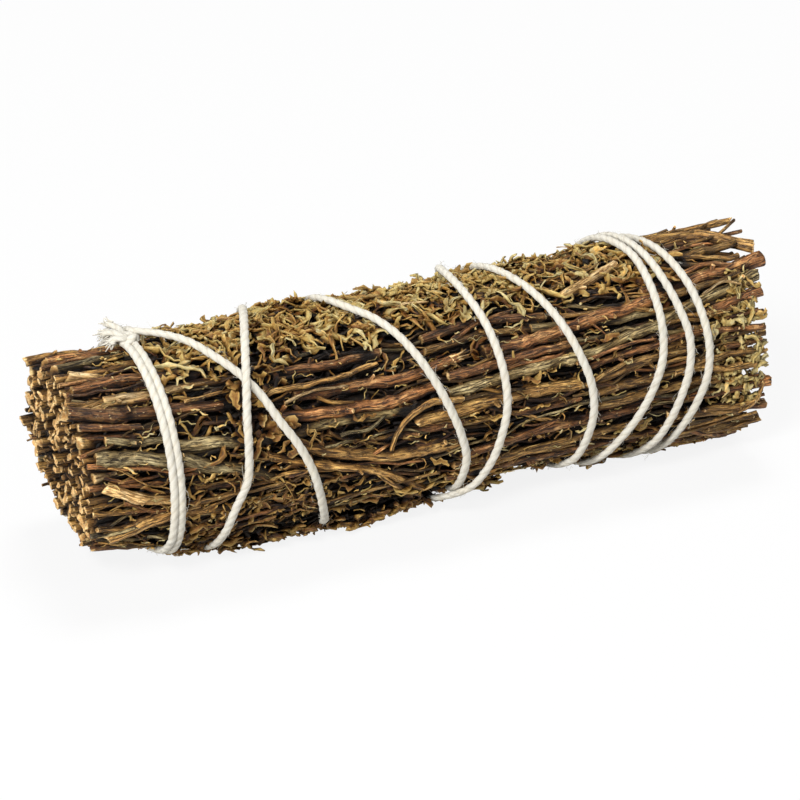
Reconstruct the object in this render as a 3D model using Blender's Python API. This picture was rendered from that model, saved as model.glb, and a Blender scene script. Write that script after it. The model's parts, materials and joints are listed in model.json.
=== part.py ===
"""A dried herb bundle, tied with one length of cotton twine.

Metres, +Z up. The bundle lies along X: the cut stems (the butt) are at -X and the leafy tips at
+X. The origin is under the middle of the bundle, on the surface that it lies on. A place on the
bundle is given as (x, angle): x in millimetres along it, and the angle in degrees round its axis,
from 0 at the top over 90 at the front (-Y) to 180 underneath.
"""

import math
from dataclasses import dataclass

import bmesh
import bpy
import numpy as np

MM = 0.001

# Driving dimensions, in millimetres.
AXIS_HEIGHT = 17.4  # the bundle's axis above the surface that it lies on
AXIS_Y = -0.3  # the axis's place across, which puts the origin under the middle of the whole
RADIUS_STATIONS = (  # x along the bundle, and the radius that the outer stems reach there
    (-62.0, 17.2),
    (-56.0, 17.3),
    (-48.0, 17.5),
    (-20.0, 17.5),
    (20.0, 17.4),
    (45.0, 17.5),
    (62.0, 18.0),
)
# Where the bundle is drawn in, by the twine or towards the butt's lower rim: x, angle, half
# length, half width in degrees and depth.
HOLLOWS = (
    (-62.0, 168.0, 22.0, 64.0, 3.2),
    (3.0, 165.0, 12.0, 38.0, 1.8),
    (20.0, 158.0, 14.0, 33.0, 1.4),
)
# The butt's face, cut back further on its far lower side: angle, and the rim's x there.
BUTT_RIM = (
    (0.0, -60.0),
    (60.0, -59.5),
    (120.0, -58.5),
    (150.0, -57.5),
    (180.0, -55.5),
    (220.0, -56.0),
    (250.0, -58.0),
    (300.0, -59.0),
    (360.0, -60.0),
)
BUTT_X = -60.0
BUTT_ZONE = 14.0  # how far along the bundle the packed leaves' rings lean with the butt's face
TIP_X = 58.0
TWINE_DIAMETER = 1.4
TWINE_CLEARANCE = 0.4  # between the outer stems and the twine round them
TWINE_FLOOR_GAP = 0.05  # between the twine's underside and the surface below
GAP = 0.3  # between any two pieces
STEM_POINT_SPACING = 10.0
TWINE_STEP = 15.0  # degrees between two points of the twine
TWINE_LIE = 1.5  # how far apart two passes of the twine lie, side by side or one on the other
LIFT_REACH = 4  # points over which the twine climbs on to another pass

PACK_RINGS = 45
PACK_SECTORS = 36
PACK_INSET = 0.2
PACK_SLACK = 0.15
# Where the leaves stand out past the outer stems: x, angle, half length, half width in degrees
# and height. The ones underneath are pressed flat by the bundle's weight.
LEAF_BULGES = (
    (-18.0, -20.0, 26.0, 50.0, 0.9),
    (12.0, -25.0, 22.0, 50.0, 0.8),
    (-10.0, 168.0, 14.0, 40.0, 1.4),
    (-28.0, 178.0, 14.0, 45.0, 1.6),
    (14.0, 180.0, 14.0, 45.0, 1.6),
    (54.0, 182.0, 12.0, 45.0, 1.0),
    (0.0, 250.0, 50.0, 40.0, 0.5),
)

KNOT_X = -46.0
KNOT_ANGLE = -9.0
KNOT_HALF_SIZES = (2.9, 2.5, 1.7)
KNOT_HEIGHT = 1.9  # its middle above the outer stems

# The twine's route from one end of it to the other: (x, angle), the angle counted on through
# every turn. It rings the butt twice, runs out to the tips in long turns and comes back over
# itself to the knot.
TWINE_ROUTE = (
    (-47.0, -9.0),
    (-47.0, 120.0),
    (-47.0, 240.0),
    (-46.9, 300.0),
    (-45.8, 335.0),
    (-45.5, 360.0),
    (-45.5, 480.0),
    (-45.5, 600.0),
    (-45.4, 690.0),
    (-44.6, 708.0),
    (-39.0, 724.0),
    (-35.2, 741.0),
    (-31.0, 760.0),
    (-28.0, 780.0),
    (-24.0, 803.0),
    (-21.0, 833.0),
    (-18.0, 870.0),
    (-14.0, 960.0),
    (-11.2, 1066.0),
    (-8.0, 1087.0),
    (-4.0, 1110.0),
    (0.0, 1141.0),
    (2.9, 1167.0),
    (4.0, 1181.0),
    (3.9, 1203.0),
    (5.5, 1240.0),
    (13.0, 1340.0),
    (17.3, 1414.0),
    (19.2, 1440.0),
    (22.0, 1465.0),
    (24.5, 1489.0),
    (26.8, 1520.0),
    (26.0, 1545.0),
    (24.0, 1575.0),
    (23.5, 1620.0),
    (25.5, 1668.0),
    (35.0, 1712.0),
    (42.2, 1752.0),
    (44.8, 1786.0),
    (46.6, 1812.0),
    (48.2, 1845.0),
    (48.2, 1875.0),
    (45.5, 1900.0),
    (42.2, 1928.0),
    (40.8, 1975.0),
    (40.8, 2060.0),
    (42.0, 2140.0),
    (42.9, 2162.0),
    (44.0, 2192.0),
    (45.2, 2225.0),
    (43.0, 2250.0),
    (39.5, 2282.0),
    (37.0, 2320.0),
    (38.4, 2410.0),
    (40.2, 2500.0),
    (41.2, 2522.0),
    (41.2, 2555.0),
    (40.2, 2585.0),
    (37.0, 2608.0),
    (33.0, 2629.0),
    (29.5, 2652.0),
    (28.4, 2700.0),
    (26.4, 2745.0),
    (18.0, 2805.0),
    (11.3, 2853.0),
    (10.0, 2883.0),
    (11.2, 2920.0),
    (11.3, 2953.0),
    (9.2, 2977.0),
    (7.4, 2991.0),
    (3.6, 3010.0),
    (-1.5, 3032.0),
    (-9.0, 3062.0),
    (-16.0, 3105.0),
    (-20.5, 3155.0),
    (-23.0, 3200.0),
    (-26.0, 3230.0),
    (-30.5, 3265.0),
    (-33.5, 3297.0),
    (-34.5, 3325.0),
    (-37.0, 3346.0),
    (-38.3, 3378.0),
    (-39.5, 3430.0),
    (-42.0, 3520.0),
    (-43.6, 3570.0),
    (-45.0, 3588.0),
)
TWINE_TAILS = (  # the two ends past the knot: (x, angle, height above the outer stems)
    ((-46.4, -10.0, 2.0), (-48.6, -17.0, 2.6), (-50.9, -20.0, 2.1)),
    ((-46.6, -8.0, 1.5), (-48.4, -8.0, 1.3), (-50.0, -10.0, 1.2)),
)

RED_BARK = ("red_bark", (0.20, 0.085, 0.040), 0.62)
GREY_BARK = ("grey_bark", (0.21, 0.175, 0.125), 0.75)
TAN_BARK = ("tan_bark", (0.36, 0.22, 0.10), 0.68)
PALE_WOOD = ("peeled_wood", (0.60, 0.42, 0.25), 0.70)
DRY_LEAF = ("dry_leaf", (0.15, 0.125, 0.060), 0.85)
COTTON = ("cotton", (0.80, 0.74, 0.62), 0.90)


@dataclass(frozen=True)
class Stem:
    """One stout stem on the outside of the bundle.

    Attributes:
        name: The node's name.
        diameter: Its diameter at the thick end, in millimetres.
        bark: The material's name, colour and roughness.
        route: Its places (x, angle) or (x, angle, sink), from the butt towards the tips; sink is
            how far its outer side lies below the outermost stems.
        taper: The thin end's share of the diameter.
    """

    name: str
    diameter: float
    bark: tuple
    route: tuple
    taper: float = 0.85


FRONT_STEMS = (
    Stem("straight_tan_twig", 1.5, TAN_BARK, ((-62.8, -30, -0.8), (-56, -29, -0.6), (-50, -27, 0.4))),
    Stem("brown_top_stem", 2.0, RED_BARK, ((-59, -21, -0.3), (-53, -20), (-46, -19, 0.4), (-40, -14, 0.6))),
    Stem("grey_top_stem", 1.8, GREY_BARK, ((-59, -5), (-54, -9.5, 0.2), (-49, -7, 0.5), (-33, 8, 0.5))),
    Stem("peeled_orange_stem", 1.8, PALE_WOOD, ((-58, 5), (-54.5, 8, 0.8), (-50, 11, 2.3))),
    Stem(
        "dark_red_stem",
        2.0,
        RED_BARK,
        ((-58.8, 18.5), (-54, 16.5), (-50, 18), (-44, 22, 0.3), (-38, 24, 0.6)),
    ),
    Stem("pale_splinter", 1.4, PALE_WOOD, ((-54.5, 29), (-47, 30), (-40, 31, 0.5))),
    Stem(
        "thick_red_stem",
        2.5,
        RED_BARK,
        ((-60.8, 31.5), (-56, 36.8), (-51, 39.5), (-45, 42, 0.2), (-34, 45, 0.7)),
        0.75,
    ),
    Stem("small_red_stem", 1.3, RED_BARK, ((-60, 42), (-55.5, 45.2), (-50, 48.2, 0.3))),
    Stem(
        "fat_cut_stem",
        2.0,
        TAN_BARK,
        ((-60.3, 50.2, 0.2), (-57.5, 51.5, 1.8), (-53, 53, 2.8), (-46, 55, 3.4)),
    ),
    Stem("green_stem", 1.3, GREY_BARK, ((-56.3, 52), (-52, 55.2), (-47.5, 58), (-45.3, 58, 0.3))),
    Stem(
        "gnarled_stem",
        3.1,
        GREY_BARK,
        ((-58.5, 61.3), (-53, 64.5), (-47, 69.2), (-43, 72.5), (-35, 83.5, 0.3), (-27, 97.5, 0.8)),
        0.68,
    ),
    Stem("short_cut_stem", 1.5, PALE_WOOD, ((-59.3, 70.8, 0.3), (-56.5, 72, 1.4), (-52, 75, 2.2))),
    Stem("half_peeled_stem", 1.8, PALE_WOOD, ((-57.5, 78), (-53.5, 84.5), (-50, 91), (-46, 94, 0.3))),
    Stem(
        "knotty_tan_stem",
        2.4,
        TAN_BARK,
        ((-57, 113), (-53, 105.5, 0.1), (-49, 102.5, 0.2), (-44, 103.5, 0.4), (-38, 107, 0.8)),
        0.7,
    ),
    Stem("knobbed_red_stem", 1.8, RED_BARK, ((-26, 33.5), (-16, 35.5), (-8, 34.5))),
    Stem("split_red_stem", 1.9, RED_BARK, ((-24, 48.5), (-13, 50.5), (-3, 51), (5, 46))),
    Stem("bent_red_stem", 2.3, RED_BARK, ((-29, 57.5), (-15, 62), (-7, 62), (0.5, 59))),
    Stem(
        "grey_middle_stem",
        1.9,
        GREY_BARK,
        ((-43, 62.5), (-34, 68, 0.1), (-24, 67.5, 0.9), (-10, 68.5, 1.9), (-1, 69, 1.9)),
    ),
    Stem("rough_brown_stem", 2.5, TAN_BARK, ((-25, 77), (-17, 86), (-9, 93.5), (3, 94)), 0.85),
    Stem("bent_tan_twig", 1.5, TAN_BARK, ((-30, 79, 1.0), (-22, 89), (-8, 107), (-2, 125))),
    Stem("thin_red_twig", 1.2, RED_BARK, ((-12, 83, 1.1), (-4, 83.5, 0.3), (4, 82.5, 0.2))),
    Stem("upper_red_stem", 1.5, RED_BARK, ((0, 31.5), (10, 27.5), (22, 31.5, 0.3))),
    Stem("upper_brown_stem", 1.4, TAN_BARK, ((0, 38.5, 0.4), (9, 35.5, 0.4), (20, 37.5, 1.0))),
    Stem(
        "long_red_stem",
        2.2,
        RED_BARK,
        ((10, 45.5, 0.5), (23, 43.8), (35, 38.3), (48, 32), (56, 25.5), (63.2, 24)),
        1.0,
    ),
    Stem(
        "torn_red_stem",
        2.0,
        RED_BARK,
        ((2.5, 55.5), (12, 53), (20, 53.2, 0.2), (30, 50.8, 0.9), (37, 48, 2.0)),
    ),
    Stem(
        "long_grey_stem",
        1.9,
        GREY_BARK,
        ((2, 65, 0.2), (14, 61.5), (26, 60), (38, 52.5), (46, 45), (54, 38.5), (61, 33.5)),
        1.0,
    ),
    Stem("yellow_brown_stem", 2.2, TAN_BARK, ((-4, 76.5), (3, 74.5), (12, 73.5), (25, 74.5))),
    Stem("pale_grey_stick", 1.5, PALE_WOOD, ((26, 23.5), (32, 17), (38, 8.5)), 1.0),
    Stem("fine_red_stem", 1.3, RED_BARK, ((27, 66.5, 0.3), (36, 62.5), (48, 60.5), (59, 64))),
    Stem("splintered_stem", 1.7, TAN_BARK, ((27, 75.5, 0.2), (35, 69.5), (46, 68.5, 0.3))),
    Stem("pale_brown_stem", 1.5, TAN_BARK, ((27, 83, 0.5), (36, 79), (48, 77.5, 0.2))),
    Stem("low_brown_stem", 1.5, TAN_BARK, ((28, 90), (40, 88), (52, 86, 0.3))),
    Stem("low_red_stem", 1.6, RED_BARK, ((4, 104), (14, 99.5), (27, 98), (38, 98, 0.4))),
    Stem("low_brown_twig", 1.4, TAN_BARK, ((3, 112, 0.3), (15, 111), (28, 108.5), (37, 107))),
    Stem("lower_red_stem", 1.6, RED_BARK, ((2, 123, 0.2), (15, 121), (28, 119.5), (40, 119))),
    Stem("tip_red_stem", 1.9, RED_BARK, ((47.5, 52, 1.0), (54, 47.5, 0.2), (60.5, 43.5)), 1.0),
    Stem("arched_stem", 2.2, TAN_BARK, ((37, -20, 1.0), (50, -14, -0.3), (57, -4, -0.3), (63, 14))),
    Stem("tip_twig", 1.3, TAN_BARK, ((52, -27), (58, -22, -0.2), (63.2, -15, -0.6))),
    Stem("knobbed_tip_stem", 1.7, RED_BARK, ((45, 97.5, 0.3), (54, 97.5), (60, 96.5)), 1.0),
    Stem("lower_tip_stem", 1.6, RED_BARK, ((43, 107), (52, 110), (60, 114)), 1.0),
    Stem("forked_tip_stem", 1.8, TAN_BARK, ((44, 129), (52, 131), (60, 128)), 1.0),
    Stem("bottom_tip_stem", 1.9, RED_BARK, ((42, 141, 0.2), (50, 144), (57.5, 147)), 1.0),
)

# The stems of the far side and the underside, which nothing else on the bundle fixes:
# (x of the butt end, x of the tip end, angle, diameter, bark).
BACK_STEMS = (
    (-60, -20, 322, 2.2, RED_BARK),
    (-12, 50, 318, 1.9, GREY_BARK),
    (-59, -5, 303, 1.8, TAN_BARK),
    (4, 60, 299, 2.3, RED_BARK),
    (-59, 2, 285, 2.4, GREY_BARK),
    (10, 59, 282, 1.7, TAN_BARK),
    (-58.5, -24, 266, 2.0, RED_BARK),
    (-16, 61, 268, 2.1, RED_BARK),
    (-58, 10, 250, 1.8, RED_BARK),
    (18, 60, 248, 2.0, GREY_BARK),
    (-56.5, -10, 236, 2.2, TAN_BARK),
    (0, 58, 234, 1.7, RED_BARK),
    (-55.5, 55, 222, 1.8, GREY_BARK),
    (-57, -22, 146, 1.9, RED_BARK),
)
BACK_DRIFT = 3.0  # degrees that a far side stem wanders off its line


def radius_at(x):
    """The radius that the outer stems reach at x."""
    xs, radii = zip(*RADIUS_STATIONS)
    return float(np.interp(x, xs, radii))


def drawn_in(x, angle):
    """How far the bundle's outside lies in from its round shape at this place."""
    depth = 0.0
    for middle, side, length, width, most in HOLLOWS:
        turn = (angle - side + 180) % 360 - 180
        reach = ((x - middle) / length) ** 2 + (turn / width) ** 2
        depth = max(depth, most * max(0.0, 1 - reach))
    return depth


def flattened(radius, angle, floor):
    """The radius at this angle once the underside is pressed flat at the height floor."""
    down = -math.cos(math.radians(angle))
    if down * radius <= AXIS_HEIGHT - floor:
        return radius
    return (AXIS_HEIGHT - floor) / down


def point(x, angle, radius):
    """The point in metres at this place and distance from the bundle's axis."""
    turn = math.radians(angle)
    y = AXIS_Y - radius * math.sin(turn)
    z = AXIS_HEIGHT + radius * math.cos(turn)
    return (x * MM, y * MM, z * MM)


def smooth_route(places, count):
    """Reads count places off a smooth curve through the given ones, ends included.

    Args:
        places: Rows of numbers, each a place on the route.
        count: How many places to return.

    Returns:
        An array of count rows, evenly spaced along the route.
    """
    rows = np.array(places, float)
    before = 2 * rows[0] - rows[1]
    after = 2 * rows[-1] - rows[-2]
    padded = np.vstack([before, rows, after])
    fine = []
    for a, b, c, d in zip(padded, padded[1:], padded[2:], padded[3:]):
        for t in np.linspace(0, 1, 24, endpoint=False):
            bend = (2 * a - 5 * b + 4 * c - d) * t**2 + (3 * b - a - 3 * c + d) * t**3
            fine.append(b + 0.5 * (c - a) * t + 0.5 * bend)
    fine.append(rows[-1])
    fine = np.array(fine)
    arc = fine[:, :2] * (1.0, math.radians(1) * radius_at(0))
    steps = np.hypot(*np.diff(arc, axis=0).T)
    along = np.concatenate([[0], np.cumsum(steps)])
    wanted = np.linspace(0, along[-1], count)
    return np.array([np.interp(wanted, along, column) for column in fine.T]).T


def material(name, colour, roughness):
    """The Principled material of this name, made once."""
    made = bpy.data.materials.get(name)
    if made:
        return made
    made = bpy.data.materials.new(name)
    made.use_nodes = True
    shader = made.node_tree.nodes["Principled BSDF"]
    shader.inputs["Base Color"].default_value = (*colour, 1.0)
    shader.inputs["Roughness"].default_value = roughness
    shader.inputs["Metallic"].default_value = 0.0
    return made


def tube_curve(name, points, radii, sides_level):
    """A round bar along the points, with closed ends.

    Args:
        name: The object's name.
        points: The centre line, in metres.
        radii: The radius at each point, in metres.
        sides_level: The curve's bevel resolution; the bar has 4 + 2 * sides_level sides.

    Returns:
        The curve object.
    """
    curve = bpy.data.curves.new(name, "CURVE")
    curve.dimensions = "3D"
    curve.bevel_depth = 1.0
    curve.bevel_resolution = sides_level
    curve.use_fill_caps = True
    spline = curve.splines.new("POLY")
    spline.points.add(len(points) - 1)
    for spot, place, radius in zip(spline.points, points, radii):
        spot.co = (*place, 1.0)
        spot.radius = radius
    spline.use_smooth = True
    bar = bpy.data.objects.new(name, curve)
    bpy.context.collection.objects.link(bar)
    return bar


def stem_line(stem):
    """The stem's centre line as rows of (x, angle, distance from the axis, radius)."""
    places = [(*place, 0.0)[:3] for place in stem.route]
    length = places[-1][0] - places[0][0]
    count = max(3, round(length / STEM_POINT_SPACING) + 1)
    rows = []
    for x, angle, sink in smooth_route(places, count):
        share = (x - places[0][0]) / length
        half = stem.diameter / 2 * (1 - share * (1 - stem.taper))
        floor = TWINE_FLOOR_GAP + TWINE_DIAMETER + TWINE_CLEARANCE + half
        away = flattened(radius_at(x) - drawn_in(x, angle) - sink - half, angle, floor)
        rows.append((x, angle, away, half))
    return rows


def twine_line():
    """The twine's centre line as rows of (x, angle, distance from the axis, radius)."""
    turns = (TWINE_ROUTE[-1][1] - TWINE_ROUTE[0][1]) / TWINE_STEP
    xs = []
    angles = []
    for x, angle in smooth_route(TWINE_ROUTE, round(turns) + 1):
        xs.append(x)
        angles.append(angle)
    half = TWINE_DIAMETER / 2
    lifts = twine_lifts(np.array(xs), np.array(angles))
    rows = []
    for x, angle, lift in zip(xs, angles, lifts):
        away = radius_at(x) - drawn_in(x, angle) + TWINE_CLEARANCE + half + lift
        away = flattened(away, angle, TWINE_FLOOR_GAP + half)
        rows.append((x, angle, away, half))
    return rows


def twine_lifts(xs, angles):
    """How far each point of the twine is raised, where it lies over an earlier pass.

    Args:
        xs: Each point's x.
        angles: Each point's angle, counted on through the turns.

    Returns:
        An array of lifts in millimetres.
    """
    lifts = np.zeros(len(xs))
    leans = np.gradient(xs, np.radians(angles) * radius_at(0))
    step_length = math.radians(TWINE_STEP) * radius_at(0)
    for _ in range(2):  # the second time over the climbs that the first time eased
        for i in range(len(xs)):
            for turn in range(1, int((angles[i] - angles[0]) // 360) + 1):
                earlier = angles[i] - 360 * turn
                other_lean = np.interp(earlier, angles, leans)
                lean = max(abs(leans[i]), abs(other_lean))
                parting = abs(leans[i] - other_lean) * step_length
                aside = abs(xs[i] - np.interp(earlier, angles, xs)) / math.hypot(1, lean)
                aside = max(0.0, aside - parting)
                if aside < TWINE_LIE:
                    under = np.interp(earlier, angles[:i], lifts[:i])
                    lifts[i] = max(lifts[i], under + math.sqrt(TWINE_LIE**2 - aside**2))
        lifts = eased(lifts)
    return lifts


def eased(lifts):
    """Lets the twine climb to each lift and come down again over a few points."""
    smooth = lifts.copy()
    for i in range(len(lifts)):
        for k in range(-LIFT_REACH, LIFT_REACH + 1):
            if 0 <= i + k < len(lifts):
                smooth[i] = max(smooth[i], lifts[i + k] * (1 - abs(k) / LIFT_REACH))
    return smooth


def line_points(rows):
    """The centre line's points, in metres."""
    return [point(x, angle, away) for x, angle, away, _ in rows]


def make_stem(stem):
    """Builds one stem and returns its centre line's rows."""
    rows = stem_line(stem)
    radii = [half * MM for *_, half in rows]
    bar = tube_curve(stem.name, line_points(rows), radii, 1)
    bar.data.materials.append(material(*stem.bark))
    return rows


def back_stems():
    """The far side's stems, each wandering a little off its line."""
    chance = np.random.default_rng(11)
    stems = []
    for number, (start, end, angle, diameter, bark) in enumerate(BACK_STEMS, 1):
        drift = chance.uniform(-BACK_DRIFT, BACK_DRIFT, 2)
        middle = (start + end) / 2
        route = (
            (start, angle + drift[0] * 0.5),
            (middle, angle, 0.2),
            (end, angle + drift[1] * 0.5),
        )
        stems.append(Stem(f"far_side_stem_{number:02d}", diameter, bark, route))
    return stems


def mesh_of(curve_object, name):
    """Turns a curve object into a mesh object of this name and removes the curve."""
    graph = bpy.context.evaluated_depsgraph_get()
    mesh = bpy.data.meshes.new_from_object(curve_object.evaluated_get(graph))
    bpy.data.objects.remove(curve_object)
    piece = bpy.data.objects.new(name, mesh)
    bpy.context.collection.objects.link(piece)
    return piece


def helper(piece):
    """Marks a piece as one that only shapes another."""
    piece.hide_render = True
    piece.display_type = "WIRE"
    return piece


def make_knot():
    """The knot's body, an egg shape tilted with the surface that it sits on."""
    bpy.ops.mesh.primitive_uv_sphere_add(segments=12, ring_count=7, radius=1.0)
    knot = bpy.context.object
    knot.name = "knot_body"
    knot.scale = [half * MM for half in KNOT_HALF_SIZES]
    knot.rotation_euler = (math.radians(KNOT_ANGLE), 0.0, math.radians(20))
    knot.location = point(KNOT_X, KNOT_ANGLE, radius_at(KNOT_X) + KNOT_HEIGHT)
    return helper(knot)


def make_tail(number, tail):
    """One of the twine's two ends past the knot."""
    places = smooth_route(tail, 4)
    points = [point(x, angle, radius_at(x) + height) for x, angle, height in places]
    radii = [TWINE_DIAMETER / 2 * MM] * len(points)
    name = f"tail_body_{number}"
    return helper(mesh_of(tube_curve(f"{name}_curve", points, radii, 1), name))


def make_twine():
    """Builds the twine, its knot and its two ends as one body; returns its centre line's rows."""
    rows = twine_line()
    radii = [half * MM for *_, half in rows]
    route = tube_curve("twine_route", line_points(rows), radii, 2)
    twine = mesh_of(route, "binding_twine")
    twine.data.materials.append(material(*COTTON))
    tails = [make_tail(number, tail) for number, tail in enumerate(TWINE_TAILS, 1)]
    for part in (make_knot(), *tails):
        union = twine.modifiers.new(part.name, "BOOLEAN")
        union.operation = "UNION"
        union.object = part
    return rows


def leaf_height(x, angle):
    """How far the packed leaves stand out past the outer stems at this place."""
    height = 0.0
    for middle, side, length, width, rise in LEAF_BULGES:
        turn = (angle - side + 180) % 360 - 180
        reach = ((x - middle) / length) ** 2 + (turn / width) ** 2
        height = max(height, rise * max(0.0, 1 - reach))
    return height


def lie_samples(rows):
    """Reads a centre line every millimetre or less: arrays of x, angle, inner side and radius."""
    rows = np.array(rows)
    spots = np.linspace(0, len(rows) - 1, len(rows) * 12)
    return np.array([np.interp(spots, range(len(rows)), column) for column in rows.T]).T


def pack_radius(x, angle, lies, ring_step):
    """The packed leaves' radius at this place, kept under every stem and pass of the twine.

    Args:
        x: The place along the bundle.
        angle: The place round it.
        lies: Rows of (x, angle, distance from the axis, radius) read along every piece.
        ring_step: The distance between two rings of the mesh.

    Returns:
        The radius in millimetres.
    """
    outer = radius_at(x) - drawn_in(x, angle) - PACK_INSET + leaf_height(x, angle)
    outer = flattened(outer, angle, 0.0)
    sector_step = 2 * math.pi * radius_at(x) / PACK_SECTORS
    turns = np.radians((lies[:, 1] - angle + 180) % 360 - 180)
    aside = np.abs(turns) * lies[:, 2]
    reach = lies[:, 3] + GAP
    near = (np.abs(lies[:, 0] - x) < reach + ring_step) & (aside < reach + sector_step)
    if not near.any():
        return outer
    inner = (lies[near, 2] - lies[near, 3]) * np.cos(turns[near])
    return min(outer, float(inner.min()) - GAP - PACK_SLACK)


def butt_lean(x, angle):
    """How far a ring of the packed leaves at x is moved along, to follow the butt's face."""
    angles, rims = zip(*BUTT_RIM)
    shift = float(np.interp(angle, angles, rims)) - BUTT_X
    return shift * max(0.0, 1 - (x - BUTT_X) / BUTT_ZONE)


def make_pack(lines):
    """Builds the packed leaves and thin twigs: one body that fills the bundle.

    Args:
        lines: Every other piece's centre line, as rows.
    """
    lies = np.vstack([lie_samples(rows) for rows in lines])
    xs = np.linspace(BUTT_X, TIP_X, PACK_RINGS)
    mesh = bmesh.new()
    rings = []
    for x in xs:
        ring = []
        for sector in range(PACK_SECTORS):
            angle = 360 * sector / PACK_SECTORS
            spot = x + butt_lean(x, angle)
            radius = pack_radius(spot, angle, lies, xs[1] - xs[0])
            ring.append(mesh.verts.new(point(spot, angle, radius)))
        rings.append(ring)
    for ring, following in zip(rings, rings[1:]):
        for i in range(PACK_SECTORS):
            j = (i + 1) % PACK_SECTORS
            mesh.faces.new((ring[i], ring[j], following[j], following[i]))
    for ring, x in ((rings[0], xs[0]), (rings[-1], xs[-1])):
        middle = mesh.verts.new(point(x, 0.0, 0.0))
        for i in range(PACK_SECTORS):
            mesh.faces.new((ring[i], ring[(i + 1) % PACK_SECTORS], middle))
    bmesh.ops.recalc_face_normals(mesh, faces=mesh.faces)
    data = bpy.data.meshes.new("packed_leaves_and_twigs")
    mesh.to_mesh(data)
    mesh.free()
    data.shade_smooth()
    data.materials.append(material(*DRY_LEAF))
    pack = bpy.data.objects.new("packed_leaves_and_twigs", data)
    bpy.context.collection.objects.link(pack)


def main():
    """Clears the scene and builds every piece."""
    for old in list(bpy.data.objects):
        bpy.data.objects.remove(old)
    lines = [make_stem(stem) for stem in (*FRONT_STEMS, *back_stems())]
    lines.append(make_twine())
    make_pack(lines)


main()
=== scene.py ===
"""Looks for a dried herb bundle that is bound with cotton twine.

Lengths inside the classes are in millimetres, and become metres where a mesh is made. A place on
the bundle is (x, angle): x along it, from the cut butt end at -X to the leafy tips at +X, and the
angle in degrees round its axis, from 0 at the top over 90 at the front (-Y) to 180 underneath.
"""

import json
import logging
import math
from dataclasses import dataclass, field
from enum import Enum

import bmesh
import bpy
import numpy as np
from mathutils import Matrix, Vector


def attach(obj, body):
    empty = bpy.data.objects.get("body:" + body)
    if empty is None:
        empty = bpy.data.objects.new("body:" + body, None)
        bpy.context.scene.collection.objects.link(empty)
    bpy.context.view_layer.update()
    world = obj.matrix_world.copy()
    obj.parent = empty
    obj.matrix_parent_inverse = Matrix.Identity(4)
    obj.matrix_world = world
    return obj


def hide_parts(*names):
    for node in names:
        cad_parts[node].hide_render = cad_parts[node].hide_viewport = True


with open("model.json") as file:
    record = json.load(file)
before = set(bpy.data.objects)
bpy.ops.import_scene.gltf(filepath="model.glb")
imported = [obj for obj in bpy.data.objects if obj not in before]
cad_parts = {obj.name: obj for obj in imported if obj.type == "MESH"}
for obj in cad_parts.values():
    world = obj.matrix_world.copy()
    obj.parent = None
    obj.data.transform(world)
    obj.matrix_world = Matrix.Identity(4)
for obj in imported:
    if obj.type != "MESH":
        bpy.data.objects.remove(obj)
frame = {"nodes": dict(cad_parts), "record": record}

log = logging.getLogger("bundle")

MM = 0.001
AXIS_HEIGHT = 17.4
AXIS_Y = -0.3
RADIUS_X = (-62.0, -56.0, -48.0, -20.0, 20.0, 45.0, 62.0)
RADIUS = (17.2, 17.3, 17.5, 17.5, 17.4, 17.5, 18.0)
# Where the bundle is drawn in: x, angle, half length, half width in degrees and depth.
HOLLOWS = (
    (-62.0, 168.0, 22.0, 64.0, 3.2),
    (3.0, 165.0, 12.0, 38.0, 1.8),
    (20.0, 158.0, 14.0, 33.0, 1.4),
)
# The x of the butt's rim at each angle, and of the middle of its face.
RIM_ANGLES = (0.0, 60.0, 120.0, 150.0, 180.0, 220.0, 250.0, 300.0, 360.0)
RIM_X = (-60.3, -59.8, -58.5, -57.0, -55.0, -55.5, -57.5, -58.8, -60.3)
FACE_X = -59.0
# The x of the stems' butt ends, of the last place where a twig starts, of the first where one
# ends, and of the tips.
BUTT_X, LAST_START, FIRST_END, TIP_X = -58.0, 52.0, -50.0, 59.0
FLOOR_GAP = 0.05

Array = np.ndarray
Socket = bpy.types.NodeSocket


class Slot(Enum):
    """The record's material slots."""

    RED = "red_bark"
    GREY = "grey_bark"
    TAN = "tan_bark"
    PEELED = "peeled_wood"
    LEAF = "dry_leaf"
    COTTON = "cotton_twine"


class End(Enum):
    """How a stem ends."""

    CUT = "cut"
    TORN = "torn"
    KNOB = "knob"


# ---------------------------------------------------------------- places on the bundle


def radius_at(x: Array) -> Array:
    """The radius that the outer stems reach at x."""
    return np.interp(x, RADIUS_X, RADIUS)


def outer(x: Array, angle: Array) -> Array:
    """How far the bundle's outside lies from its axis.

    Args:
        x: The places' x.
        angle: Their angles.

    Returns:
        The distance at each place.
    """
    depth = 0.0
    for middle, side, length, width, most in HOLLOWS:
        turn = (np.asarray(angle) - side + 180) % 360 - 180
        reach = ((x - middle) / length) ** 2 + (turn / width) ** 2
        depth = np.maximum(depth, most * np.clip(1 - reach, 0, None))
    return radius_at(x) - depth


def butt_face(angle: Array, share: Array) -> Array:
    """The x of the butt's face at this angle and share of the radius."""
    rim = np.interp(np.asarray(angle) % 360, RIM_ANGLES, RIM_X)
    return FACE_X + (rim - FACE_X) * share**2


def place(x: Array, angle: Array, away: Array) -> Array:
    """Turns places on the bundle into points.

    Args:
        x: The places' x.
        angle: Their angles.
        away: Their distances from the bundle's axis.

    Returns:
        The points, in millimetres.
    """
    turn = np.radians(angle)
    x, turn, away = np.broadcast_arrays(np.asarray(x, float), turn, away)
    return np.stack([x, AXIS_Y - away * np.sin(turn), AXIS_HEIGHT + away * np.cos(turn)], -1)


def outward(points: Array) -> Array:
    """The direction away from the bundle's axis at each point."""
    flat = points * (0.0, 1.0, 1.0) - (0.0, AXIS_Y, AXIS_HEIGHT)
    return flat / np.maximum(np.linalg.norm(flat, axis=-1, keepdims=True), 1e-6)


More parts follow.
